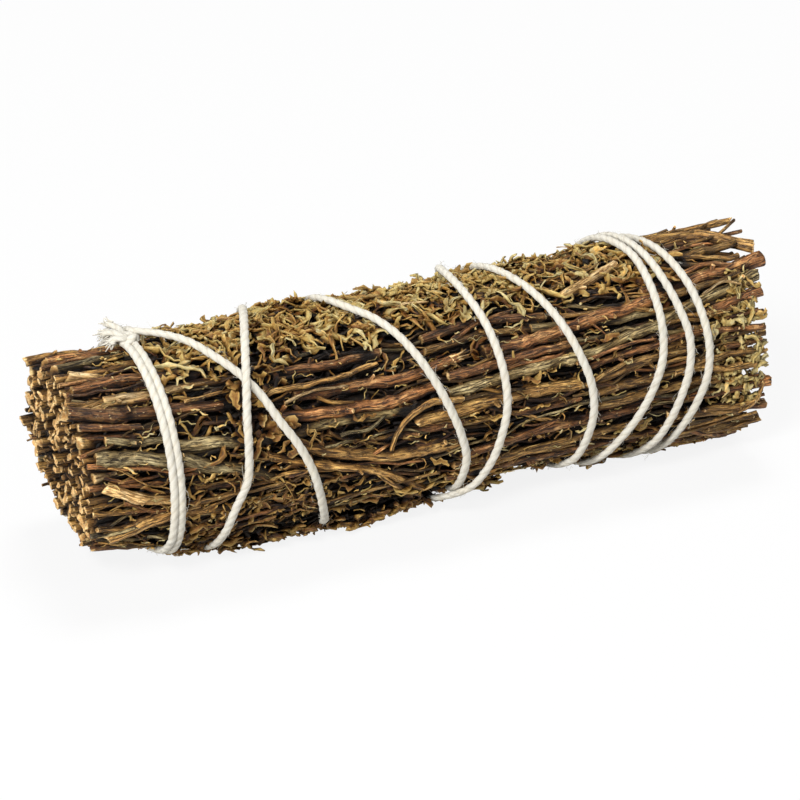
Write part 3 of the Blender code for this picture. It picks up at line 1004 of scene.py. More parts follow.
@dataclass
class Mass:
    """Like shapes of one finish, joined in one piece.

    Attributes:
        name: The piece's name.
        seed: The seed of its chance.
        count: How many shapes it has.
        slot: The record's material slot.
        replaced: The frame's nodes that it stands for.
        rings: Points along each shape.
    """

    name: str
    seed: int = 0
    count: int = 1
    slot: Slot = Slot.TAN
    replaced: tuple[str, ...] = ()
    rings: int = 8

    def __post_init__(self) -> None:
        """Starts the piece's chance and its pile."""
        self.chance = np.random.default_rng(self.seed)
        self.pile = Pile(self.name)

    def between(self, low: float, high: float) -> Array:
        """A number between two for each shape."""
        return self.chance.uniform(low, high, (self.count, 1))

    def about(self, spread: float) -> Array:
        """A number for each shape, mostly within this far of 0."""
        return self.chance.normal(0, spread, (self.count, 1))

    def shares(self) -> Array:
        """How far along a shape each of its points lies, from 0 to 1."""
        return np.linspace(0, 1, self.rings)

    def waves(self, along: Array, length: float) -> Array:
        """Smooth random waves along each shape, about 1 high."""
        return waves(self.chance, self.count, along, length)

    def worn(self, along: Array, length: float, least: float) -> Array:
        """How bare each point is, where waves of this length rise over the least height."""
        return np.clip(self.waves(along, length) - least, 0, 1)

    def rods(self, *sizes: float) -> Rods:
        """Rods on the piece's pile, with this many sides, roughness, cut and kind of end."""
        return Rods(self.pile, self.chance, *sizes)

    def fill(self) -> None:
        """Adds all the shapes to the pile."""
        raise NotImplementedError

    def build(self, finish: bpy.types.Material) -> None:
        """Makes the piece and dresses it.

        Args:
            finish: Its material.
        """
        self.fill()
        dress(self.pile.build(), finish, self.slot.value, *self.replaced)


@dataclass
class OuterStem(Mass):
    """One stout stem, made along its frame node's centre line.

    Attributes:
        end: How its far end is; the near one is cut.
        mesh_gap: The least distance between two rings of the node's mesh.
        wart_gap: The length of stem for each wart.
        swelling_gap: The length of stem for each swelling.
        joint_gap: The length of stem between two turns.
        stub_gap: How many points of the line there are for each side stub.
        splinters: How many fibres stand out of a torn end.
    """

    end: End = End.CUT
    mesh_gap: float = 1.0
    wart_gap: float = 5.0
    swelling_gap: float = 14.0
    joint_gap: float = 7.0
    stub_gap: int = 40
    splinters: int = 11

    def centre_line(self) -> Array:
        """Reads the rings of the node's mesh.

        Returns:
            Rows of a point of its centre line and the radius there.
        """
        node = self.replaced[0]
        points = np.unique(np.round(read_points(frame["nodes"][node].data), 3), axis=0)
        points = points[np.argsort(points[:, 0], kind="stable")]
        rings = np.split(points, np.flatnonzero(np.diff(points[:, 0]) > self.mesh_gap) + 1)
        middles = np.array([ring.mean(0) for ring in rings])
        radii = np.array([np.linalg.norm(ring - ring.mean(0), axis=1).mean() for ring in rings])
        xs, rises = zip(*STEM_LIFTS.get(node, ((0.0, 0.0),)))
        middles = middles + outward(middles) * np.interp(middles[:, 0], xs, rises)[:, None]
        middles[0, 0] = STEM_STARTS.get(node, middles[0, 0])
        return np.column_stack([middles, radii])

    def fill(self) -> None:
        """Makes the stem with its wrinkles, warts, side stubs and ends."""
        node = self.replaced[0]
        sides, step = (10, 0.8) if node.startswith("far_side") else (16, 0.45)
        rows = smooth_line(self.centre_line(), step)
        line, radii = rows[None, :, :3], rows[None, :, 3]
        along = distances(line)
        length = float(along[0, -1])
        up, aside = frames(line, outward(line))[1:]
        hold = np.clip(np.minimum(along, along[:, -1:] - along) / 4, 0.3, 1)
        sway = 0.12 * radii.mean() * hold
        line = line + aside * (self.waves(along, 11.0) * sway + self.kinks(along))[..., None]
        line = line + up * (self.waves(along, 9.0) * sway * 0.8)[..., None]
        rods = self.rods(sides, 0.095, 0.35)
        relief = rods.relief(along)
        turn = turns(sides)
        for _ in range(max(2, round(length / self.wart_gap))):
            spot, side = self.chance.uniform(0, length), self.chance.uniform(0, math.tau)
            size = self.chance.uniform(0.35, 1.1)
            off = (turn - side + math.pi) % math.tau - math.pi
            near = ((along[0] - spot) / size)[:, None] ** 2 + (off * radii[0, 0] / size)[None] ** 2
            relief = relief + self.chance.uniform(0.1, 0.3) * np.exp(-near)
        spots = self.chance.uniform(0, length, round(length / self.swelling_gap))
        swellings = [(spot, 0.14, 0.7) for spot in spots]
        if self.end is End.KNOB:
            swellings.append((length, 0.18, 1.3))
        for spot, height, reach in swellings:
            relief = relief + height * np.exp(-(((along - spot) / reach) ** 2))[..., None]
        bare = self.worn(along, 9.0, 0.75) * 1.2
        if self.slot is Slot.PEELED:
            bare = bare + 0.1
        bare = np.maximum(bare, np.clip(1 - along / 0.7, 0, 1) * 0.5)
        tone = STEM_TONES.get(node, STEM_TONE) + self.chance.uniform(-0.05, 0.05, 1)
        rods.add(line, radii, tone, bare, relief)
        self.add_stubs(line[0], radii[0], tone)
        if self.end is End.TORN:
            self.add_splinters(line[0], radii[0], tone)

    def kinks(self, along: Array) -> Array:
        """How far the stem lies aside of its line, as it turns a little at each joint.

        Args:
            along: The distance along the stem, as (1, points).

        Returns:
            The distances in millimetres.
        """
        length = float(along[0, -1])
        spots = np.linspace(0, length, max(3, round(length / self.joint_gap) + 1))
        offsets = self.chance.uniform(-0.32, 0.32, len(spots))
        offsets[0] = offsets[-1] = 0.0
        return np.interp(along, spots, offsets)

    def add_stubs(self, line: Array, radii: Array, tone: Array) -> None:
        """Adds the short broken side twigs.

        Args:
            line: The stem's centre line.
            radii: Its radii.
            tone: Its shade.
        """
        self.count = max(1, round(len(line) / self.stub_gap))
        spots = self.chance.integers(4, len(line) - 4, self.count)
        ahead, up, aside = frames(line[None], outward(line[None]))
        turn = self.between(-1.4, 1.4)
        out = up[0, spots] * np.cos(turn) + aside[0, spots] * np.sin(turn)
        way = unit(out + ahead[0, spots] * self.between(0.3, 1.2))
        length = self.between(0.5, 1.1) + radii[spots, None]
        t = np.linspace(0.3, 1, 5)[None, :, None]
        lines = line[spots, None] + way[:, None] * length[..., None] * t
        thick = radii[spots, None] * self.between(0.28, 0.5) * np.linspace(1.3, 0.9, 5)
        self.rods(7, 0.1, 0.4).add(lines, thick, tone)

    def add_splinters(self, line: Array, radii: Array, tone: Array) -> None:
        """Adds the long fibres that stand out of the torn end.

        Args:
            line: The stem's centre line.
            radii: Its radii.
            tone: Its shade.
        """
        self.count = self.splinters
        spot = len(line) - 2
        ahead, up, aside = frames(line[None], outward(line[None]))
        turn = self.between(0, math.tau)
        off = up[0, spot] * np.cos(turn) + aside[0, spot] * np.sin(turn)
        off = off * self.between(0.1, 0.8)
        length = self.between(0.8, 3.4)
        t = np.linspace(-0.4, 1, 6)
        reach = ahead[0, spot] * length[..., None] * t[None, :, None]
        spread = off[:, None] * radii[spot] * (1 + 0.7 * t**2)[None, :, None]
        thick = radii[spot] * self.between(0.16, 0.36) * np.linspace(1.2, 0.25, 6)
        self.rods(6, 0.15, 0.6).add(line[spot] + reach + spread, thick, tone, 0.9)


@dataclass
class ThinTwigs(Mass):
    """Thin twigs that lie along the bundle between the stout stems.

    Attributes:
        depth: The least and the greatest depth of their outer side.
        thick: The least and the greatest diameter.
        length: The least and the greatest length.
        stray: How far they turn round the bundle from end to end, in degrees.
        middles: Between which x their middles lie.
        capped: Whether their ends are cut.
    """

    depth: tuple[float, float] = (0.5, 3.4)
    thick: tuple[float, float] = (0.6, 1.7)
    length: tuple[float, float] = (14.0, 50.0)
    stray: float = 7.0
    middles: tuple[float, float] = (-60.0, 60.0)
    rings: int = 14
    capped: bool = True

    def fill(self) -> None:
        """Lays the twigs all round the bundle."""
        length = self.between(*self.length)
        middle = self.between(*self.middles)
        angle = self.between(0, 360)
        face = butt_face(angle, 0.9) + self.about(0.6)
        start = np.clip(middle - length / 2, face, LAST_START)
        end = np.clip(start + length, FIRST_END, TIP_X + self.about(1.6))
        t = self.shares()
        along = (end - start) * t
        x = start + along
        angle = angle + self.about(self.stray) * (t - 0.5)
        angle = angle + self.waves(along, 20.0) * self.stray * 0.22
        thick = self.between(*self.thick) * (1 - 0.3 * t)
        sink = self.between(*self.depth) + self.waves(along, 16.0) * 0.35
        away = outer(x, angle) - np.maximum(sink, 0.1) - thick / 2
        bare = self.worn(along, 12.0, 0.8)
        tone = self.chance.uniform(0, 1, self.count)
        rods = self.rods(6 if self.capped else 5, 0.1, 0.4, self.capped)
        rods.add(place(x, angle, away), thick / 2, tone, bare)


@dataclass
class FineTwigs(ThinTwigs):
    """Finer twigs near the outside, whose ends only close."""

    depth: tuple[float, float] = (0.0, 1.5)
    thick: tuple[float, float] = (0.3, 0.95)
    length: tuple[float, float] = (6.0, 28.0)
    stray: float = 12.0
    rings: int = 12
    capped: bool = False


@dataclass
class LooseTwigs(Mass):
    """The single thin twigs, strips and curls whose places are known one by one.

    Attributes:
        twigs: Each one's diameter and places, as (x, angle, height over the outer stems).
    """

    twigs: tuple = ()

    def fill(self) -> None:
        """Lays each twig along its places."""
        for diameter, places in self.twigs:
            rows = np.array(places)
            away = outer(rows[:, 0], rows[:, 1]) + rows[:, 2] - diameter / 2
            line = smooth_line(place(rows[:, 0], rows[:, 1], away), 0.5)[None]
            along = np.arange(line.shape[1])[None] * 0.5
            aside = frames(line, outward(line))[2]
            line = line + aside * (self.waves(along, 9.0) * 0.12 * diameter)[..., None]
            taper = np.linspace(1, self.chance.uniform(0.6, 0.9), line.shape[1])
            bare = self.worn(along, 8.0, 0.7)
            tone = self.chance.uniform(0.3, 0.8, 1)
            self.rods(9, 0.11, 0.4).add(line, diameter / 2 * taper[None], tone, bare)


@dataclass
class CutEnds(Mass):
    """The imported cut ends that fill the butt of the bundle.

    Attributes:
        inset: How far the outermost lie inside the bundle's outside.
        gap: The least room between two.
        radii: The least and the greatest radius.
        length: Their length.
        sides: Points round each.
    """

    rings: int = 4
    inset: float = 1.1
    gap: float = 0.14
    radii: tuple[float, float] = (0.22, 0.85)
    length: float = 9.0
    sides: int = 10

    def packed(self) -> Array:
        """Finds places for round ends, so that none overlap.

        Returns:
            Rows of (y, z, radius).
        """
        kept = np.zeros((0, 3))
        sizes = np.sort(self.chance.gamma(5.0, 0.07, self.count) + 0.06)[::-1]
        sizes = np.clip(sizes, *self.radii)
        share = np.sqrt(self.chance.uniform(0, 1, self.count))
        turn = self.chance.uniform(0, 360, self.count)
        away = (outer(BUTT_X, turn) - self.inset - sizes) * share
        spots = np.column_stack([-away * np.sin(np.radians(turn)), away * np.cos(np.radians(turn)), sizes])
        for y, z, half in spots:
            gaps = np.hypot(kept[:, 0] - y, kept[:, 1] - z) - kept[:, 2] - half
            if not len(kept) or gaps.min() > self.gap:
                kept = np.vstack([kept, (y, z, half)])
        return kept

    def fill(self) -> None:
        """Tries as many places as the count says and makes an end at each that is free."""
        spots = self.packed()
        self.count = len(spots)
        log.info("%d cut ends", self.count)
        t = self.shares()
        turn = np.degrees(np.arctan2(-spots[:, :1], spots[:, 1:2]))
        share = np.hypot(spots[:, :1], spots[:, 1:2]) / outer(BUTT_X, turn)
        x = butt_face(turn, share) + self.about(0.75) + self.length * t
        lean = self.chance.normal(0, 0.05, (self.count, 2, 1))
        y = spots[:, :1] + lean[:, 0] * self.length * t
        z = spots[:, 1:2] + lean[:, 1] * self.length * t
        lines = np.stack([x, AXIS_Y + y, AXIS_HEIGHT + z], -1)
        thick = np.repeat(spots[:, 2:] * 1.22, self.rings, axis=1)
        crush = pressed(turns(self.sides) + self.between(0, math.pi), self.between(0.4, 0.95))
        rods = self.rods(self.sides, 0.12, 0.35)
        relief = rods.relief(self.length * t + np.zeros((self.count, 1))) * crush[:, None]
        rods.add(lines, thick, self.chance.uniform(0.1, 1, self.count), 0.0, relief)


@dataclass
class TipTwigs(Mass):
    """The uneven twig tips that fill and pass the leafy end.

    Attributes:
        radius: How far from the bundle's axis they grow.
        reach: The x where most of them end.
    """

    radius: float = 17.6
    reach: float = 58.2

    def fill(self) -> None:
        """Spreads the tips over the whole end."""
        away = self.radius * np.sqrt(self.between(0, 1))
        angle = self.between(0, 360)
        t = self.shares()
        end = self.reach + self.about(1.9) - 0.006 * away**2
        length = self.between(9, 15)
        along = length * t
        x = end - length * (1 - t)
        angle = angle + self.waves(along, 15.0) * 1.6 + self.about(5) * t
        splay = away * (1 + 0.02 * t) + self.waves(along, 12.0) * 0.3
        thick = self.between(0.28, 0.85) * (1 - 0.35 * t)
        knob = self.between(0, 0.35) * np.exp(-(((1 - t) / 0.12) ** 2))
        points = place(x, angle, np.minimum(splay, outer(x, angle) + 0.4 - thick))
        bare = self.worn(along, 8.0, 0.7)
        tone = self.chance.uniform(0.1, 1, self.count)
        self.rods(6, 0.09, 0.5).add(points, thick * (1 + knob), tone, bare)


@dataclass(frozen=True)
class LeafPatch:
    """A stretch of the bundle that leaves cover.

    Attributes:
        count: How many leaves.
        xs: Its reach along the bundle.
        angles: Its reach round the bundle.
        heights: How far the leaves' middles lie from the outer stems' reach.
        tones: The least and the greatest shade.
        length: The least and the greatest length of a leaf.
        width: The least and the greatest width.
        along: How much the leaves follow the bundle, 0 to 1.
        curl: How far a leaf turns from end to end, in radians.
        rise: How far a leaf rises and falls along its length, in radians.
    """

    count: int
    xs: tuple[float, float]
    angles: tuple[float, float]
    heights: tuple[float, float]
    tones: tuple[float, float]
    length: tuple[float, float]
    width: tuple[float, float]
    along: float
    curl: float = 1.8
    rise: float = 0.55


@dataclass
class LeafMass(Mass):
    """Curled, folded, twisted narrow leaves.

    Attributes:
        patches: Where they lie.
    """

    slot: Slot = Slot.LEAF
    patches: tuple[LeafPatch, ...] = ()
    rings: int = 9

    def fill(self) -> None:
        """Adds the leaves of every patch."""
        for patch in self.patches:
            self.count = patch.count
            self.add_patch(patch)

    def lines(self, patch: LeafPatch) -> tuple[Array, Array]:
        """The middle lines of one patch's leaves, each curved in its own way.

        Args:
            patch: The patch.

        Returns:
            The lines, and how far along a line each point lies, from 0 to 1.
        """
        x = self.between(*patch.xs)
        angle = self.between(*patch.angles)
        base = place(x, angle, outer(x, angle) + self.between(*patch.heights))[:, 0]
        out = outward(base)
        lengthwise = np.array([[1.0, 0.0, 0.0]])
        round_about = np.cross(out, lengthwise)
        length = self.between(*patch.length)
        t = self.shares()
        yaw = self.between(-math.pi, math.pi) * (1 - patch.along)
        yaw = yaw + self.about(0.25) + math.pi * self.chance.integers(0, 2, (self.count, 1))
        yaw = yaw + self.about(patch.curl) * t + self.waves(t, 0.8) * 0.8
        pitch = self.about(0.2) + self.waves(t, 0.8) * patch.rise
        flat = np.cos(pitch)[..., None]
        way = flat * np.cos(yaw)[..., None] * lengthwise[:, None]
        way = way + flat * np.sin(yaw)[..., None] * round_about[:, None]
        way = way + np.sin(pitch)[..., None] * out[:, None]
        line = np.cumsum(way * length[..., None] / (self.rings - 1), axis=1)
        return base[:, None] + line - line.mean(1, keepdims=True), t

    def add_patch(self, patch: LeafPatch) -> None:
        """Adds one patch's leaves.

        Args:
            patch: The patch.
        """
        count, rings = self.count, self.rings
        line, t = self.lines(patch)
        roll = self.between(-1.1, 1.1) + self.about(1.2) * t
        ahead, up, aside = frames(line, outward(line))
        normal = up * np.cos(roll)[..., None] + aside * np.sin(roll)[..., None]
        across = np.cross(ahead, normal)
        lobes = 1 + 0.3 * np.sin(math.tau * t * self.between(1.5, 3.2) + 9 * roll)
        width = self.between(*patch.width) * np.sin(math.pi * (0.06 + 0.88 * t)) ** 0.6
        half = width * lobes / 2
        fold = self.between(0.5, 1.3) * self.chance.choice([-1, 1], (count, 1))
        s = np.array([-1.0, 0.0, 1.0])
        shut = np.cos(np.abs(fold))[..., None, None]
        points = line[:, :, None] + across[:, :, None] * (half[..., None] * s)[..., None] * shut
        rise = np.sin(fold) * half
        points = points + normal[:, :, None] * (rise[..., None] * np.abs(s))[..., None]
        points = points + self.chance.normal(0, 0.1, points.shape) * half[..., None, None]
        shift = self.between(0, 300) + patch.length[1] * t
        grain = np.stack(np.broadcast_arrays(half[..., None] * s, 0.0, shift[..., None]), -1)
        # Both edges of a leaf turn pale: partly its own dry margin, partly a painted highlight.
        mark = np.broadcast_to(0.75 * np.abs(s), (count, rings, 3))
        tone = np.broadcast_to(self.between(*patch.tones)[..., None], (count, rings, 3))
        self.pile.add(points, [grid_faces(count, rings, 3, False)], grain, mark, tone)


@dataclass
class CurlMass(LeafMass):
    """Leaves that dried into tight rolls and twisted, grooved strips.

    Attributes:
        sides: Points round each.
    """

    rings: int = 8
    sides: int = 6

    def add_patch(self, patch: LeafPatch) -> None:
        """Adds one patch's rolls.

        Args:
            patch: The patch.
        """
        line, t = self.lines(patch)
        half = self.between(*patch.width) / 2 * np.sin(math.pi * (0.08 + 0.84 * t)) ** 0.6
        half = half * (1 + 0.5 * self.waves(t, 0.5))
        roll = self.between(0, math.tau) + self.about(2.2) * t
        turn = turns(self.sides) - (roll + self.waves(t, 0.8) * 0.6)[..., None]
        relief = pressed(turn, self.between(0.16, 0.5)[..., None])
        # The edges get a painted highlight, partly the dry leaf's own paler margin; the fold also gets
        # painted shade through the mark below.
        edge = np.abs(np.sin(turn)) ** 3
        fold = np.exp(-((((turn + math.pi) % math.tau - math.pi) / 0.7) ** 2))
        relief = relief * (1 - self.between(0.2, 0.8)[..., None] * fold)
        relief = relief * (1 + self.chance.normal(0, 0.2, relief.shape))
        tone = self.chance.uniform(*patch.tones, self.count)
        rods = self.rods(self.sides, 0.0, 0.0, False)
        # The mark carries the painted edge highlight and, below 0, the painted shade of the fold.
        rods.add(line, np.maximum(half, 0.05), tone, edge - 1.4 * fold, relief)


@dataclass
class Stalks(Mass):
    """Fine curled stalks and tendrils among the leaves, over the top, front and back."""

    rings: int = 7

    def fill(self) -> None:
        """Lays the stalks."""
        x = self.between(-57, 54)
        angle = self.between(-90, 200)
        t = self.shares()
        step = self.between(2, 6) / (self.rings - 1)
        yaw = self.about(0.35) + self.about(2.2) * t
        yaw = yaw + self.waves(t, 1.2) * 0.3
        x = x + np.cumsum(np.cos(yaw), axis=1) * step
        angle = angle + np.degrees(np.cumsum(np.sin(yaw), axis=1) * step / 17.5)
        sink = self.between(0.2, 1.6) + self.waves(t, 1.1) * 0.4
        x = np.clip(x, -58, 57)
        thick = self.between(0.1, 0.24) * (1 - 0.5 * t)
        tone = self.chance.uniform(0.3, 1, self.count)
        self.rods(4, 0.05, 0.2, False).add(place(x, angle, outer(x, angle) - sink), thick, tone)


# The twine's route from one end of it to the other: (x, angle), the angle counted on through
# every turn.
TWINE_ROUTE = (
    (-46.9, -9), (-46.9, 120), (-46.9, 240), (-46.9, 300), (-46.1, 335), (-45.75, 360), (-45.75, 480),
    (-45.75, 600), (-45.5, 690), (-44.6, 708), (-39, 724), (-35.2, 741), (-31, 760), (-28, 780),
    (-24, 803), (-21, 833), (-18, 870), (-14, 960), (-11.2, 1066), (-8, 1087), (-4, 1110), (0, 1141),
    (2.9, 1167), (4, 1181), (3.9, 1203), (5.5, 1240), (13, 1340), (17.3, 1414), (19.2, 1440),
    (22, 1465), (24.5, 1489), (26.8, 1520), (26, 1545), (24, 1575), (23.5, 1620), (25.5, 1668),
    (35, 1712), (42.2, 1752), (44.8, 1786), (46.6, 1812), (48.2, 1845), (48.2, 1875), (45.5, 1900),
    (42.2, 1928), (40.8, 1975), (40.8, 2060), (42, 2140), (42.9, 2162), (44, 2192), (45.2, 2225),
    (43, 2250), (39.5, 2282), (37, 2320), (38.4, 2410), (40.2, 2500), (41.2, 2522), (41.2, 2555),
    (40.2, 2585), (37, 2608), (33, 2629), (29.5, 2652), (28.4, 2700), (26.4, 2745), (18, 2805),
    (11.3, 2853), (10, 2883), (11.2, 2920), (11.3, 2953), (9.2, 2977), (7.4, 2991), (3.6, 3010),
    (-1.5, 3032), (-9, 3062), (-16, 3105), (-20.5, 3155), (-23, 3200), (-26, 3230), (-30.5, 3265),
    (-33.5, 3297), (-34.5, 3325), (-37, 3346), (-38.3, 3378), (-39.5, 3430), (-42, 3520), (-43.6, 3570),
    (-45, 3588),
)
TWINE_TAILS = (
    ((-46.3, -8.0, 1.7), (-47.3, -9.0, 2.2), (-48.4, -12.0, 2.6), (-49.6, -14.0, 2.4)),
    ((-46.0, -10.0, 1.6), (-46.5, -13.0, 2.1), (-47.1, -17.0, 3.0), (-47.8, -20.0, 3.4)),
    ((-46.6, -6.0, 1.6), (-47.7, -6.0, 2.0), (-48.6, -7.0, 1.9), (-49.3, -7.0, 1.4)),
)


@dataclass
class Twine(Mass):
    """The cotton twine: strands twisted together along the whole route.

    Attributes:
        diameter: Its thickness.
        clearance: The room between it and the outer stems.
        lie: How far apart two passes lie, one on the other.
        step: Degrees between two points of the route.
        press: How far the bundle's weight presses it in underneath.
        lay: The length in which the strands turn once round.
        strands: How many strands it has.
        sides: Points round it.
        detail: The distance between two points of its finished line.
    """

    slot: Slot = Slot.COTTON
    diameter: float = 1.3
    clearance: float = 0.35
    lie: float = 1.12
    step: float = 15.0
    press: float = 1.1
    lay: float = 3.8
    strands: int = 2
    sides: int = 12
    detail: float = 0.36

    def lifts(self, xs: Array, angles: Array) -> Array:
        """How far each point is raised, where it lies over an earlier pass.

        Args:
            xs: Each point's x.
            angles: Each point's angle, counted on through the turns.

        Returns:
            The lifts in millimetres.
        """
        lifts = np.zeros(len(xs))
        leans = np.gradient(xs, np.radians(angles) * radius_at(0.0))
        step_length = math.radians(self.step) * radius_at(0.0)
        for _ in range(2):
            for i in range(len(xs)):
                for turn in range(1, int((angles[i] - angles[0]) // 360) + 1):
                    earlier = angles[i] - 360 * turn
                    other = np.interp(earlier, angles, leans)
                    aside = abs(xs[i] - np.interp(earlier, angles, xs))
                    aside /= math.hypot(1, max(abs(leans[i]), abs(other)))
                    aside = max(0.0, aside - abs(leans[i] - other) * step_length)
                    if aside < self.lie:
                        under = np.interp(earlier, angles[:i], lifts[:i])
                        lifts[i] = max(lifts[i], under + math.sqrt(self.lie**2 - aside**2))
            smooth = lifts.copy()
            for k in range(1, 4):
                smooth[k:] = np.maximum(smooth[k:], lifts[:-k] * (1 - k / 4))
                smooth[:-k] = np.maximum(smooth[:-k], lifts[k:] * (1 - k / 4))
            lifts = smooth
        return lifts * np.clip((angles[-1] - angles) / 45, 0, 1)

    def route(self) -> Array:
        """Lays the route round the stems and over its own earlier turns.

        Returns:
            The centre line's points, in millimetres, close together.
        """
        places = np.array(TWINE_ROUTE, float)
        rounded = np.column_stack([places[:, 0], places[:, 1] * math.radians(1) * radius_at(0.0)])
        fine = smooth_line(np.column_stack([rounded, 0 * rounded[:, :1]]), 0.5)
        count = round((places[-1, 1] - places[0, 1]) / self.step) + 1
        spots = np.linspace(0, len(fine) - 1, count)
        xs, angles = (np.interp(spots, range(len(fine)), fine[:, column]) for column in (0, 1))
        angles = np.degrees(angles / radius_at(0.0))
        away = outer(xs, angles) + self.clearance + self.diameter / 2 + self.lifts(xs, angles)
        down = -np.cos(np.radians(angles))
        away = away - self.press * np.clip((down - 0.55) / 0.35, 0, 1)
        floor = AXIS_HEIGHT - FLOOR_GAP - self.diameter / 2
        away = np.where(down * away > floor, floor / np.maximum(down, 0.1), away)
        return smooth_line(place(xs, angles, away), self.detail)

    def add_strands(self, line: Array, up: Array, thin: Array, broad: float = 1.12) -> None:
        """Adds one twisted length: a body whose section has a lobe for each strand.

        Args:
            line: Its centre line.
            up: A direction across the line at each point.
            thin: The thickness at each point, as a share of the full one.
            broad: How far it is pressed flat: its breadth as a share of the thickness.
        """
        up, aside = frames(line[None], up[None])[1:]
        along = distances(line)[:, None]
        theta = turns(self.sides)
        groove = np.abs(np.cos(theta * self.strands / 2)) ** 0.8
        shape = self.diameter / 2 * (0.88 + 0.14 * groove)
        turn = theta + math.tau * along / self.lay
        section = up[0, :, None] * np.cos(turn)[..., None] / broad
        section = section + aside[0, :, None] * np.sin(turn)[..., None] * broad
        points = line[:, None] + (shape * thin[:, None])[..., None] * section
        grain = np.stack(np.broadcast_arrays(np.cos(theta), np.sin(theta), along), -1)
        # The mark is highest in the grooves between the strands, where the cotton finish paints shade.
        mark = np.broadcast_to((1 - groove) ** 2 * 0.3, turn.shape)
        self.pile.add_tubes(points[None], grain[None], mark[None], 0.5, 0.0)

    def fill(self) -> None:
        """Lays the strands along the route."""
        line = self.route()
        self.add_strands(line, outward(line), np.ones(len(line)))


@dataclass
class Knot(Twine):
    """The twine's knot, a tight overhand one, with its cut ends.

    Attributes:
        count: How many fibres fan out of each end.
        spot: Its place, as (x, angle, height over the outer stems).
        size: Its scale along the bundle, round it and away from it.
        tails: The places of each cut end.
    """

    count: int = 40
    rings: int = 5
    spot: tuple[float, float, float] = (-46.4, -8.0, 1.3)
    size: tuple[float, float, float] = (0.6, 0.4, 0.36)
    tails: tuple = TWINE_TAILS

    def fray(self, points: Array) -> None:
        """Adds the loose yarn that fans out of a cut end.

        Args:
            points: The end's centre line.
        """
        self.chance = np.random.default_rng(self.seed)
        t = self.shares()
        ahead = unit(points[-1] - points[-4])
        start = points[-1] - 0.7 * ahead + self.chance.normal(0, 0.24, (self.count, 3))
        fan = ahead + self.chance.normal(0, 0.2, (self.count, 3))
        curl = self.chance.normal(0, 0.15, (self.count, 1, 3)) * (t**2)[:, None]
        length = self.between(0.8, 1.4)[..., None]
        lines = start[:, None] + (fan[:, None] * t[:, None] + curl) * length
        self.rods(4, 0.0, 0.0, False).add(lines, self.between(0.1, 0.2) * (1 - 0.45 * t), 0.5)

    def fill(self) -> None:
        """Ties the knot and adds its ends."""
        x, angle, height = self.spot
        middle = place(x, angle, radius_at(x) + height)
        out = outward(middle[None])[0]
        lengthwise = np.array([1.0, 0.0, 0.0])
        t = np.linspace(0, math.tau, 150)
        line = middle + np.outer(np.sin(t) + 2 * np.sin(2 * t), lengthwise) * self.size[0]
        line = line + np.outer(np.cos(t) - 2 * np.cos(2 * t), np.cross(out, lengthwise)) * self.size[1]
        line = line + np.outer(0.4 - np.sin(3 * t), out) * self.size[2]
        self.add_strands(line, out + 0 * line, np.full(len(line), 1.05))
        for tail in self.tails:
            rows = np.array(tail)
            points = place(rows[:, 0], rows[:, 1], radius_at(rows[:, 0]) + rows[:, 2])
            points = smooth_line(points, 0.25)
            self.add_strands(points, outward(points), np.linspace(0.9, 1.05, len(points)), 1.35)
            self.fray(points)


@dataclass
class Fuzz(Twine):
    """Loose fibres that stand out of the twine.

    Attributes:
        root: How far from the twine's middle they start.
    """

    rings: int = 4
    root: float = 0.55

    def fill(self) -> None:
        """Spreads the fibres along the twine's route."""
        route = self.route()
        ahead, up, aside = frames(route[None], outward(route)[None])
        spots = self.chance.integers(2, len(route) - 2, self.count)
        turn = self.between(0, math.tau)
        out = up[0, spots] * np.cos(turn) + aside[0, spots] * np.sin(turn)
        way = ahead[0, spots] * self.chance.choice([-1.0, 1.0], (self.count, 1))
        t = self.shares()
        length = self.chance.gamma(2.2, 0.5, (self.count, 1))
        lift = np.cumsum(np.sin(self.between(0.1, 1.1) + self.waves(t, 0.9)), axis=1)
        run = np.cumsum(np.cos(self.waves(t, 1.1)), axis=1)
        sway = self.waves(t, 1.0) * 0.35
        step = (length / self.rings)[..., None]
        line = route[spots, None] + out[:, None] * self.root
        line = line + out[:, None] * step * lift[..., None] * 0.7 + way[:, None] * step * run[..., None]
        line = line + np.cross(out, way)[:, None] * sway[..., None] * length[..., None] * 0.5
        self.rods(3, 0.0, 0.1, False).add(line, self.between(0.022, 0.045) * (1 - 0.4 * t), 0.5)


